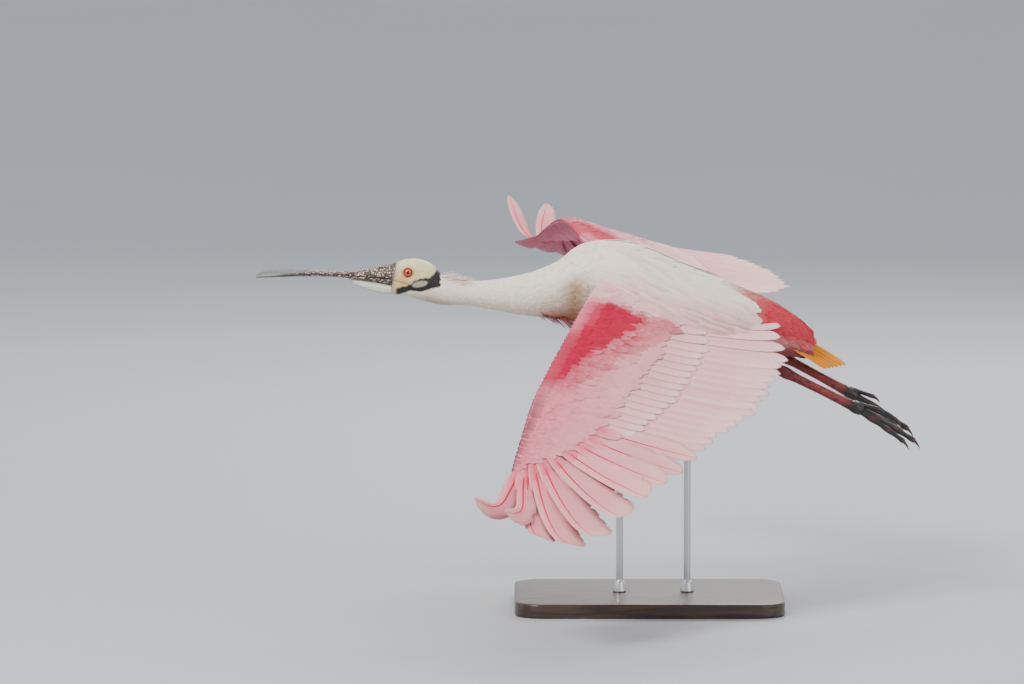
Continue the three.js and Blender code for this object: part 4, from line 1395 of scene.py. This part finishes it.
@dataclass
class Wing:
    """One wing: the flesh of arm and hand, its flight feathers and its coverts.

    Rows of the core hold reach, leading edge, chord and thickness. Rows of the primaries, from the
    innermost, hold length, azimuth in degrees forwards of straight out, and width behind the shaft.
    """

    side: Side
    shoulder_middle: tuple = (-38.7, 0.0, -2.0)
    shoulder_across: float = 42.0
    shoulder_lift: float = 22.0
    wrist_reach: float = 225.0
    hand_reach: float = 335.0
    core: tuple = (
        (-14, 22, 96, 30), (30, 38, 92, 25), (95, 57, 84, 20), (165, 77, 72, 16),
        (225, 92, 58, 13), (282, 99, 36, 9.5), (335, 104, 14, 5.5),
    )
    root_line: float = 0.55
    primaries: tuple = (
        (192, -84, 22), (184, -75.5, 24), (175, -68, 28), (170, -57, 36), (180, -40, 42),
        (206, -24, 42), (230, -13, 37), (222, -3, 30), (192, 0, 19), (188, 15, 19),
    )
    slotted: int = 2
    arm_feathers: int = 19
    PINK, LIGHT, SHELL = rgb("EA6C86"), rgb("F2929F"), rgb("F8CACA")
    # Of the three colours below, the second and third, maroon and mauve, are painted shade.
    CARMINE, MAROON, MAUVE = rgb("C0003A"), rgb("4E0C1A"), rgb("96405F")
    BEIGE, TAN, CORAL, WHITE = rgb("F0CFBC"), rgb("B8663A"), rgb("E22444"), rgb("FAE6E2")

    def __post_init__(self) -> None:
        """Works out the wing's directions and its shoulder."""
        self.pose = POSES[self.side]
        body, wing = Axes.at(BODY_PITCH, BANK), Axes.at(WING_PITCH, BANK)
        self.out, self.fore, self.up = wing.right * self.side.value, wing.fore, wing.up
        across = body.right * self.side.value * self.shoulder_across
        self.shoulder = np.array(self.shoulder_middle) + across + body.up * self.shoulder_lift
        self.word = self.side.name.lower()

    def droop(self, reach: Array | float) -> Array:
        """Droop in degrees at a reach."""
        bent = smooth(self.wrist_reach - 40, self.wrist_reach + 60, reach)
        return self.pose.arm + (self.pose.hand - self.pose.arm) * bent

    def point(self, reach: Array | float, foreward: Array | float, lift: Array | float) -> Array:
        """Points of the wing.

        Args:
            reach: how far out.
            foreward: how far forwards.
            lift: how far off the wing's plane.

        Returns:
            The points.
        """
        reach, foreward, lift = np.broadcast_arrays(np.asarray(reach, float), foreward, lift)
        angle = np.radians(self.droop(reach[..., None] * (np.arange(16) + 0.5) / 16))
        end = np.radians(self.droop(reach))
        outward = np.cos(angle).mean(-1) * reach + lift * np.sin(end)
        upward = lift * np.cos(end) - np.sin(angle).mean(-1) * reach
        forward = foreward - self.pose.swing * smooth(0, self.wrist_reach, reach)
        flat = self.shoulder + self.out * outward[..., None] + self.up * upward[..., None]
        return flat + self.fore * forward[..., None]

    def root(self, reach: float, share: float, lift: float) -> Array:
        """Where a quill starts, from its reach, its share of the chord and its lift."""
        front, chord = read_outline(self.core, reach, 1), read_outline(self.core, reach, 2)
        return self.point(reach, front - share * chord, lift)

    def patch(self, reach: Array, share: Array) -> Array:
        """The carmine patch of the lesser coverts.

        Args:
            reach: how far out.
            share: share of the chord.

        Returns:
            Share of carmine.
        """
        end = 0.98 - 0.68 * np.clip((reach - 45) / 145, 0, 1)
        front = 0.08 * smooth(110, 70, reach)
        inside = smooth(front - 0.06, front + 0.03, share) * smooth(end + 0.06, end - 0.04, share)
        return inside * smooth(28, 44, reach) * smooth(205, 178, reach)

    def covert_colour(self, reach: Array, share: Array, face: int) -> Array:
        """Colour of a small covert.

        Args:
            reach: how far out.
            share: share of the chord.
            face: 1 above and -1 below.

        Returns:
            Its colour.
        """
        if face < 0:
            # painted shade: the lower face is pink darkened towards mauve
            return blend(self.MAUVE, self.LIGHT, 0.35 + 0.4 * smooth(0.1, 0.8, share))
        return layered(
            self.PINK,
            (self.LIGHT, 0.45 + 0.55 * smooth(0.3, 0.9, share)),
            (self.SHELL, 0.4 * smooth(0.35, 0.95, share) * (1 - 0.5 * smooth(150, 240, reach))),
            (self.CARMINE, 0.95 * self.patch(reach, share)),
            # painted shade: darker mauve along the leading edge of the hand
            (self.MAUVE * 0.8, 0.8 * smooth(0.07, 0.0, share) * smooth(150, 250, reach)),
            (self.SHELL, 0.85 * smooth(46, 26, reach)),
        )

    def flesh(self) -> None:
        """Builds the skin of arm and hand, under the coverts."""
        reach = np.linspace(self.core[0][0], self.hand_reach, 90)[:, None]
        front, chord, thick = [read_outline(self.core, reach, c) for c in (1, 2, 3)]
        a = circle(48)[None]
        back = ((1 - np.cos(a)) / 2) ** 1.2
        points = self.point(reach, front - 0.4 - (chord - 0.8) * back, (thick / 2 - 0.6) * np.sin(a))
        upper, lower = self.covert_colour(reach, back, 1), self.covert_colour(reach, back, -1)
        # the lower half takes the lower face's colour with its painted shade
        tint = np.where((np.sin(a) > 0)[..., None], upper, lower)
        surface = Surface(f"wing_{self.word}_flesh").add(points, tint, points)
        surface.build(UNDER, "wing_plumage", f"wing_{self.word}")

    def hand_paint(self, i: int) -> Paint:
        """Colours of a primary.

        Args:
            i: its number from the innermost.

        Returns:
            The colours.
        """
        outward = i / 9
        tip = blend(self.BEIGE, self.TAN, 0.65 if i in (6, 7) else 0.12)
        base = blend(self.SHELL, self.PINK, 0.42 + 0.33 * outward)
        # painted shade: maroon on the lower faces of the two outermost primaries, mauve on the others
        under = self.MAROON if i >= 8 else self.MAUVE
        return Paint(base, self.BEIGE, tip, under, self.CORAL, self.CORAL * 0.8, self.PINK, 0.4, 0.6)

    def arm_paint(self, inward: float) -> Paint:
        """Colours of a secondary, from 0 at the wrist to 1 at the body."""
        base = blend(self.SHELL, self.LIGHT, 0.5 - 0.3 * inward + 0.12 * math.sin(inward * 61))
        # the fourth colour, a darker copy of the light pink, is painted shade on the lower face
        return Paint(base, self.WHITE, self.WHITE, self.LIGHT * 0.85, self.LIGHT, self.SHELL, self.LIGHT,
                     edging=0.5, tipping=0.4)

    def flight(self) -> None:
        """Builds primaries and secondaries, and a covert over each quill."""
        total = 2 * (len(self.primaries) + self.arm_feathers)
        row = QuillRow(Surface(f"wing_{self.word}_flight"), total, 5 + self.side.value)
        pose, axes = self.pose, (self.out, self.fore, self.up)
        pink, light, shell = self.PINK, self.LIGHT, self.SHELL
        # in both paints mauve is the colour of the lower face, painted shade
        shade = Paint(blend(pink, light, 0.3), shell, shell, self.MAUVE, self.CORAL, light, pink, 0.5, 0.6)
        tier = Paint(blend(light, shell, 0.55), shell, self.WHITE, self.MAUVE, light, shell, light, 0.5, 0.55)
        for i, (length, azimuth, trail) in enumerate(self.primaries):
            outward, slot = i / 9, i - (len(self.primaries) - self.slotted)
            reach = self.wrist_reach + 8 + (self.hand_reach - 24 - self.wrist_reach) * outward
            bent = pose.inner + (pose.outer - pose.inner) * min(1, outward * 1.35)
            lift, turn = (pose.slotted, pose.turn[slot]) if slot >= 0 else (bent, 0.0)
            row.lay(
                Quill(self.root(reach, self.root_line, -0.5), azimuth, pose.hand, length, 11 - 3 * outward,
                      trail, (0, lift), turn, slot >= 0, shaft=1.5, stations=56),
                *axes, self.hand_paint(i),
            )
            row.lay(
                Quill(self.root(reach, self.root_line - 0.06, 2.2), azimuth, pose.hand, 0.5 * length, 9, 15,
                      (1, 2 + 11 * outward), shaft=0.7, stations=22),
                *axes, shade,
            )
        for i in range(self.arm_feathers):
            inward = i / (self.arm_feathers - 1)
            tertial = min(max((inward * 14 - 11) / 3, 0), 1)
            reach = self.wrist_reach - 4 + (28 - self.wrist_reach) * inward
            length = 194 + 32 * float(smooth(0, 0.4, inward)) - 34 * tertial + 2.5 * math.sin(i * 2.3)
            azimuth = -86.5 - 8 * inward - 7 * tertial
            droop = float(self.droop(reach))
            row.lay(
                Quill(self.root(reach, self.root_line + 0.07, -0.5), azimuth, droop, length, 8.5, 17, (-2, 9),
                      stations=48),
                *axes, self.arm_paint(inward),
            )
            row.lay(
                Quill(self.root(reach + 4, self.root_line, 3.8), azimuth, droop, 0.58 * length, 8, 13, (-2, 1),
                      shaft=0.5, stations=26),
                *axes, tier,
            )
        row.surface.build(VANED, "wing_plumage")

    def coverts(self, face: int) -> None:
        """Builds the rows of small coverts on one face.

        Args:
            face: 1 for the upper face and -1 for the lower.
        """
        name = f"wing_{self.word}_coverts_{'upper' if face > 0 else 'lower'}"
        plumage = Plumage(Surface(name), 20 + face + self.side.value)
        random, t = plumage.random, np.linspace(0, 1, 6)
        for k, start in enumerate(np.linspace(0.0, 0.84 if face > 0 else 0.66, 12)):
            reach = np.arange(-6 + 3.2 * (k % 2), self.hand_reach - 4 - 60 * start, 6.4)
            count = len(reach)
            reach = reach + random.normal(0, 0.8, count)
            size = (17 + 42 * start) * (1 - 0.5 * smooth(200, 310, reach))
            size = size * (1 + random.normal(0, 0.06, count))
            azimuth = np.radians(-93 + 46 * smooth(200, 330, reach) + random.normal(0, 3, count))
            out = reach[:, None] + size[:, None] * np.cos(azimuth)[:, None] * t
            front, chord, thick = [read_outline(self.core, reach, c)[:, None] for c in (1, 2, 3)]
            foreward = front - start * chord + size[:, None] * np.sin(azimuth)[:, None] * t
            share = np.clip((front - foreward) / chord, 0, 1)
            core = thick / 2 * np.sin(np.arccos(1 - 2 * share ** (1 / 1.2)))
            floor = (3.8 if face > 0 else 2.6) * smooth(0.3, 0.6, share)
            rise = np.abs(random.normal(0, 0.5, (count, 1)))
            centre = self.point(out, foreward, face * (np.maximum(core, floor) - 0.5 + (1.1 + rise) * t))
            ahead = np.gradient(centre, axis=1)
            off = self.point(out, foreward, face * 1.0) - self.point(out, foreward, 0.0)
            cross = unit(np.cross(ahead, off))
            tint = self.covert_colour(reach, np.full(count, start), face)
            lighter = 0.15 * (1 - self.patch(reach, share[:, -1])) * (face > 0)
            tip = blend(self.covert_colour(reach, share[:, -1], face), self.SHELL, lighter)
            box = np.stack([on_map((reach + 10) / 350), np.full(count, start * 0.9 + 0.05)], -1)
            plumage.lay(centre, cross, unit(off), 0.3 * size + 5.5, tint, blend(tint, tip, 0.6), box, 0.15)
        plumage.surface.build(VANED, "wing_plumage")

    def build(self) -> None:
        """Builds every piece of the wing."""
        self.flesh()
        self.flight()
        self.coverts(1)
        self.coverts(-1)


@dataclass(frozen=True)
class TailLayer:
    """One layer of feathers on both sides of the tail, from the middle outwards.

    Height, ahead and length are at the middle; rise and taper are what they change by at the outermost.
    Stagger and shorter are taken off every second feather.
    """

    count: int
    apart: float
    height: float
    rise: float
    ahead: float
    stagger: float
    length: float
    taper: float
    shorter: float
    lead: float
    trail: float
    bend: tuple[float, float]
    tilt: float
    shaft: float
    stations: int
    paint: Paint

    def quill(self, i: int, middle: Array, out: Array, axes: Axes) -> Quill:
        """A feather of the layer.

        Args:
            i: its number from the middle.
            middle: root of the tail.
            out: outwards.
            axes: directions of the tail.

        Returns:
            The feather.
        """
        share, second = (i + 0.5) / self.count, i % 2
        root = middle + out * self.apart * share + axes.up * (self.height + self.rise * share)
        root = root + axes.fore * (self.ahead - self.stagger * second)
        length = self.length - self.taper * share - self.shorter * second
        return Quill(root, 8 * share - 90, 0, length, self.lead, self.trail, self.bend,
                     tilt=self.tilt, shaft=self.shaft, stations=self.stations)


@dataclass
class Tail:
    """Twelve tail feathers with coverts above and below."""

    middle: tuple = (176.0, 0.0, -52.0)
    ORANGE, AMBER, BROWN = rgb("E8890E"), rgb("F2AE40"), rgb("8E4A1C")

    def build(self) -> None:
        """Builds the tail."""
        axes, middle = Axes.at(TAIL_PITCH, BANK), np.array(self.middle)
        pink, rose, red, deep = BodyForm.PINK, BodyForm.ROSE, BodyForm.RED, BodyForm.DEEP
        amber = self.AMBER
        # the fourth colour of each paint is laid on the lower face as painted shade
        orange = Paint(self.ORANGE, amber, amber, amber * 0.85, self.BROWN, self.ORANGE, red, 0.5, 0.4)
        upper = Paint(red, pink, pink, deep, rose, pink, red, 0.35, 0.4)
        lower = Paint(deep, red, rose, deep, deep, red, deep, 0.4, 0.35)
        layers = [
            TailLayer(6, 15, 2.0, -9.6, 0, 0, 112, 30, 0, 6.5, 8.5, (0, -4), -4, 1.1, 40, orange),
            TailLayer(6, 16, 21, -9, 12, 9, 74, 10, 8, 7, 8, (-8, -14), -16, 0.6, 24, upper),
            TailLayer(5, 15, -20, 5, 14, 9, 62, 8, 0, 7, 8, (8, 14), 14, 0.6, 24, lower),
        ]
        row = QuillRow(Surface("tail_feathers"), 2 * sum(layer.count for layer in layers), 9)
        for side in Side:
            out = axes.right * side.value
            for layer in layers:
                for i in range(layer.count):
                    row.lay(layer.quill(i, middle, out, axes), out, axes.fore, axes.up, layer.paint)
        row.surface.build(VANED, "tail_plumage", "tail")


def tube(path: Array, radius: Array, columns: int) -> Array:
    """Rings round a path.

    Args:
        path: its points.
        radius: radius at each.
        columns: points round.

    Returns:
        The rings.
    """
    along = unit(np.gradient(path, axis=0))
    across = unit(np.array([0.0, 1.0, 0.0]) - along * along[:, 1:2])
    upward = np.cross(along, across)
    turn = circle(columns)[:, None]
    spoke = across[:, None] * np.sin(turn) + upward[:, None] * np.cos(turn)
    return path[:, None] + spoke * radius[:, None, None]


def limb_lane(path: Array, radius: Array, columns: int) -> Array:
    """Texture values of a tube: round and along in millimetres.

    Args:
        path: its points.
        radius: radius at each.
        columns: points round.

    Returns:
        Values for each point of its rings.
    """
    along = np.concatenate([[0], np.cumsum(np.linalg.norm(np.diff(path, axis=0), axis=1))])[:, None]
    turn, size = circle(columns)[None], radius[:, None]
    return np.stack(np.broadcast_arrays(size * np.sin(turn), along, size * np.cos(turn)), -1)


@dataclass
class Leg:
    """One leg: feathered thigh and shin, scaled lower leg, foot and claws.

    Places hold x and z on the middle plane. Rows of radii hold share of the length and radius. Rows of
    the toes hold spread, rise, length, radius, joints, start and lift.
    """

    side: Side
    hip_place: tuple = (104.0, -78.0)
    ankle_place: tuple = (180.0, -100.0)
    left_foot: tuple = (273.0, -147.0)
    right_foot: tuple = (268.0, -147.0)
    apart: float = 21.0
    tibia_radii: tuple = ((0, 15), (0.4, 14), (0.7, 9.5), (0.88, 6.8), (1, 6.4))
    tarsus_radii: tuple = ((0, 6), (0.06, 8.2), (0.13, 7.6), (0.24, 6), (0.6, 5.6), (0.88, 6.2), (1, 7))
    palm_length: float = 20.0
    palm_radii: tuple = ((0, 6.8), (0.4, 8.6), (0.8, 7.4), (1, 4.6))
    toe_rows: tuple = (
        (-9, 1, 70, 4.4, 2, 8, 1), (0, 0, 88, 4.9, 3, 8, 0),
        (9, -4, 76, 4.5, 3, 8, -1.5), (-4, 15, 34, 3.7, 1, 4, 4),
    )
    claw_length: float = 12.2
    claw_radius: float = 2.2
    THIGH, SHIN, RED = rgb("E06078"), rgb("C03048"), rgb("8E2E30")
    BLACK, BLUSH, HORN = rgb("1E1716"), rgb("5A2622"), rgb("120E0D")

    def __post_init__(self) -> None:
        """Works out where hip, ankle and foot are."""
        right, sign = Axes.at(BODY_PITCH, BANK).right, self.side.value
        foot = self.left_foot if self.side is Side.LEFT else self.right_foot
        places = [(*self.hip_place, self.apart + 3), (*self.ankle_place, self.apart), (*foot, self.apart - 2)]
        self.hip, self.ankle, self.foot = [np.array([x, 0, z]) + right * sign * a for x, z, a in places]
        self.word = self.side.name.lower()

    def tibia(self) -> None:
        """Builds the thigh and shin with their coat."""
        share = np.linspace(0, 1, 50)
        radius = read_radii(self.tibia_radii, share)
        path = self.hip + (self.ankle - self.hip) * share[:, None]
        colour = blend(self.THIGH, self.SHIN, share)[:, None]
        skin = Surface(f"leg_{self.word}_thigh_skin")
        skin.add(tube(path, radius - 0.8, 40), colour, limb_lane(path, radius, 40))
        skin.build(UNDER, "thigh_plumage", f"leg_{self.word}_tibia")
        plumage = Plumage(Surface(f"leg_{self.word}_thigh_coat"), 40 + self.side.value)
        random, t = plumage.random, np.linspace(0, 1, 5)
        axis = unit(self.ankle - self.hip)
        length = float(np.linalg.norm(self.ankle - self.hip))
        across = unit(np.array([0.0, 1.0, 0.0]) - axis * axis[1])
        upward = np.cross(axis, across)
        for k, start in enumerate(np.arange(0.0, 0.93, 0.04)):
            size = 13 - 6 * start
            wide = float(read_radii(self.tibia_radii, start))
            count = int(TURN * wide / 2.7)
            angle = (np.arange(count) + 0.5 * (k % 2)) / count * TURN + random.normal(0, 0.04, count)
            place = np.minimum(start + size / length * t, 0.99)[None] + 0 * angle[:, None]
            away = across * np.sin(angle)[:, None] + upward * np.cos(angle)[:, None]
            rise = 1.0 + np.abs(random.normal(0, 0.3, (count, 1)))
            lift = read_radii(self.tibia_radii, place) - 0.7 + rise * t
            centre = self.hip + (self.ankle - self.hip) * place[..., None] + away[:, None] * lift[..., None]
            side = np.broadcast_to(np.cross(axis, away)[:, None], centre.shape)
            tint = blend(self.THIGH, self.SHIN, np.full(count, start))
            box = np.stack([np.full(count, 0.05 + 0.9 * start), round_map(angle)], -1)
            normal, width = np.broadcast_to(away[:, None], centre.shape), np.full(count, 0.55 * size)
            plumage.lay(centre, side, normal, width, tint, blend(tint, BodyForm.PINK, 0.25), box)
        plumage.surface.build(SOFT, "thigh_plumage")

    def tarsus(self) -> None:
        """Builds the bare lower leg with its ankle knob."""
        share = np.linspace(0, 1, 90)
        radius = read_radii(self.tarsus_radii, share)
        radius = np.convolve(np.pad(radius, 3, "edge"), np.ones(7) / 7, "valid")
        radius = radius * (1 + 0.018 * np.sin(share * TURN * 28))
        path = self.ankle + (self.foot - self.ankle) * share[:, None]
        dark = 0.6 * smooth(0.85, 1.0, share) + 0.25 * hump(share, 0.08, 0.06)
        tint = blend(self.RED, self.BLACK, dark)[:, None]
        surface = Surface(f"leg_{self.word}_shank")
        surface.add(tube(path, radius, 36), tint, limb_lane(path, radius, 36))
        surface.build(LEG, "leg_skin", f"leg_{self.word}_tarsus")

    def toes(self) -> None:
        """Builds palm and toes, and the claws as a piece of their own."""
        along = unit(self.foot - self.ankle)
        across = unit(np.array([0.0, 1.0, 0.0]) - along * along[1]) * self.side.value
        upward = unit(np.array([0.0, 0.0, 1.0]) - along * along[2])
        start = self.foot + along * 0.3
        skin, claws = Surface(f"foot_{self.word}_toes"), Surface(f"foot_{self.word}_claws")
        share = np.linspace(0, 1, 24)
        radius = read_radii(self.palm_radii, share)
        path = start + along * self.palm_length * share[:, None]
        skin.add(tube(path, radius, 28), self.BLACK, limb_lane(path, radius, 28))
        for spread, rise, length, thick, joints, begin, lift in self.toe_rows:
            aside, above = math.tan(math.radians(spread)), math.tan(math.radians(rise))
            heading = unit(along + across * aside + upward * above)
            share = np.linspace(0, 1, 20 * joints + 16)
            knuckle = 1 + 0.14 * np.cos(TURN * joints * share) + 0.02 * np.sin(share * length * 2.2)
            root = start + along * begin + upward * lift
            path = root + heading * length * share[:, None] - upward * (length * 0.06 * share**2)[:, None]
            radius = thick * (1 - 0.3 * share) * knuckle
            radius = radius * np.where(share > 0.97, 0.9, 1.0)
            tint = blend(self.BLACK, self.BLUSH, 0.7 * smooth(0.6, 1.0, np.cos(TURN * joints * share)))[:, None]
            skin.add(tube(path, radius, 24), tint, limb_lane(path, radius, 24))
            share = np.linspace(0, 1, 16)
            tip = path[-1] - heading * 1.2
            hook = self.claw_length * (0.15 * share + 0.35 * share**2)
            path = tip + heading * self.claw_length * share[:, None] - upward * hook[:, None]
            rings = tube(path, self.claw_radius * (1 - 0.86 * share**1.3), 16)
            claws.add(rings, self.HORN, limb_lane(path, 2 + 0 * share, 16))
        skin.build(FOOT, "foot_skin", f"foot_{self.word}")
        claws.build(CLAW, "foot_skin")

    def build(self) -> None:
        """Builds every piece of the leg."""
        self.tibia()
        self.tarsus()
        self.toes()


@dataclass
class Stand:
    """A flat base of dark wood and two steel rods with collars, whose rows hold height and radius."""

    length: float = 350.0
    width: float = 250.0
    thick: float = 18.0
    corner: float = 36.0
    edge: float = 3.0
    foot_edge: float = 1.8
    top_inset: float = 25.0
    rod_radius: float = 4.5
    front: float = -26.0
    rear: float = 62.0
    joint: float = 0.3
    into_body: float = 10.0
    collar: tuple = ((0.0, 8.6), (0.5, 9.0), (1.2, 9.0), (13.2, 6.6), (13.8, 6.3), (14.0, 5.6))
    WALNUT, GREY = rgb("2B1D16"), rgb("9A9DA2")

    def base(self) -> None:
        """Builds the base plate with rounded corners and edges."""
        quarter = np.linspace(0, math.pi / 2, 13)
        sine, cosine = 1 - np.sin(quarter), 1 - np.cos(quarter)
        heights = [0.0, *(self.foot_edge * cosine[1:]), self.thick / 2, *(self.thick - self.edge * sine[:-1])]
        insets = [self.foot_edge, *(self.foot_edge * sine[1:]), 0.0, *(self.edge * cosine[:-1])]
        heights, insets = heights + [self.thick] * 2, insets + [self.edge, self.top_inset]
        signs = np.repeat([(1, 1), (-1, 1), (-1, -1), (1, -1)], len(quarter), 0)
        angle = np.concatenate([quarter + k * math.pi / 2 for k in range(4)])
        around = np.stack([np.cos(angle), np.sin(angle)], -1)
        middle = signs * (np.array([self.length, self.width]) / 2 - self.corner)
        rings = [
            np.column_stack([middle + around * (self.corner - inset), np.full(len(angle), height)])
            for height, inset in zip(heights, insets)
        ]
        points = np.array(rings)
        surface = Surface("stand_base_plate", WORLD_ORIGIN).add(points, self.WALNUT, points)
        surface.build(WOOD, "base_wood", "stand_base")

    def rod(self, word: str, station: float) -> None:
        """Builds a rod and its collar as one turned piece.

        Args:
            word: which rod.
            station: where it stands along the body.
        """
        foot = self.thick + self.joint
        top = BIRD_ORIGIN[2] + float(read_outline(BODY_OUTLINE, station, 2)) + self.into_body
        profile = [*self.collar, (14.1, self.rod_radius)]
        profile += [(z, self.rod_radius) for z in np.linspace(16, top - foot, 30)]
        middle = BIRD_ORIGIN[0] + station
        points = np.array([
            [(middle + r * math.cos(a), r * math.sin(a), foot + z) for a in circle(48)] for z, r in profile
        ])
        surface = Surface(f"stand_rod_{word}_turned", WORLD_ORIGIN).add(points, self.GREY, points)
        surface.build(STEEL, "rod_steel", f"stand_rod_{word}")

    def build(self) -> None:
        """Builds base and rods."""
        self.base()
        self.rod("front", self.front)
        self.rod("rear", self.rear)


@dataclass
class Studio:
    """Camera, floor and soft light. Lengths are metres unless a name says otherwise."""

    elevation: float = 6.0
    distance: float = 10.0
    sensor_mm: float = 36.0
    mm_per_pixel: float = 1.3
    width_pixels: int = 1024
    aim_along: float = -0.1664
    aim_down: float = 0.0741
    floor_half: float = 60.0
    floor_gap: float = 0.0006
    sky_strength: float = 0.88
    # Lights: name, place, size and power.
    lamps: tuple = (
        ("key", (-2.2, -2.6, 3.4), 1.2, 187.5),
        ("fill", (2.8, -3.0, 1.2), 2.2, 31.25),
        ("rim", (0.6, 3.0, 2.6), 1.6, 100.0),
    )
    SKY, WARM = (0.95, 0.97, 1.0, 1.0), (1.0, 0.95, 0.88)
    FLOOR_DARK, FLOOR_LIGHT = (0.42, 0.455, 0.49, 1.0), (0.45, 0.48, 0.515, 1.0)

    def camera(self) -> None:
        """Sets the camera that matches the photograph."""
        lift = math.radians(self.elevation)
        data = bpy.data.cameras.new("camera")
        data.sensor_width = self.sensor_mm
        data.lens = self.sensor_mm * self.distance / (self.mm_per_pixel * self.width_pixels / 1000)
        data.clip_start, data.clip_end = 0.1, 200
        up = Vector((0, math.sin(lift), math.cos(lift)))
        target = Vector(BIRD_ORIGIN) / 1000 + Vector((self.aim_along, 0, 0)) - up * self.aim_down
        camera = bpy.data.objects.new("camera", data)
        camera.location = target - Vector((0, math.cos(lift), -math.sin(lift))) * self.distance
        camera.rotation_euler = (math.pi / 2 - lift, 0, 0)
        bpy.context.scene.collection.objects.link(camera)
        bpy.context.scene.camera = camera

    def floor(self) -> None:
        """Adds a wide pale floor."""
        graph = Graph("floor_pale", {"Roughness": 0.75})
        cloud = graph.noise(graph.place(), 1.2)
        graph.feed("Base Color", graph.mix(cloud, self.FLOOR_DARK, self.FLOOR_LIGHT))
        mesh = bpy.data.meshes.new("floor")
        half = self.floor_half
        corners = [(-half, -half, 0), (half, -half, 0), (half, half, 0), (-half, half, 0)]
        mesh.from_pydata(corners, [], [(0, 1, 2, 3)])
        mesh.materials.append(graph.material)
        floor = bpy.data.objects.new("floor", mesh)
        floor.location = (0, 0, -self.floor_gap)
        bpy.context.scene.collection.objects.link(floor)

    def lights(self) -> None:
        """Adds the sky and three soft lights."""
        world = bpy.data.worlds.new("studio")
        world.use_nodes = True
        sky = world.node_tree.nodes["Background"]
        sky.inputs[0].default_value = self.SKY
        sky.inputs[1].default_value = self.sky_strength
        bpy.context.scene.world = world
        for name, place, size, power in self.lamps:
            data = bpy.data.lights.new(name, "AREA")
            data.size, data.energy, data.color = size, power, self.WARM
            light = bpy.data.objects.new(name, data)
            light.location = place
            aim = Vector((-0.1, 0, 0.4)) - Vector(place)
            light.rotation_euler = aim.to_track_quat("-Z", "Y").to_euler()
            bpy.context.scene.collection.objects.link(light)

    def build(self) -> None:
        """Sets up the studio."""
        self.camera()
        self.floor()
        self.lights()


def main() -> None:
    """Builds the scene."""
    logging.basicConfig(level=logging.INFO, format="%(name)s %(message)s")
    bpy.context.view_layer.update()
    Studio().build()
    Body().build()
    Head().build()
    for side in Side:
        Wing(side).build()
        Leg(side).build()
    Tail().build()
    Stand().build()


if __name__ == "__main__":
    main()
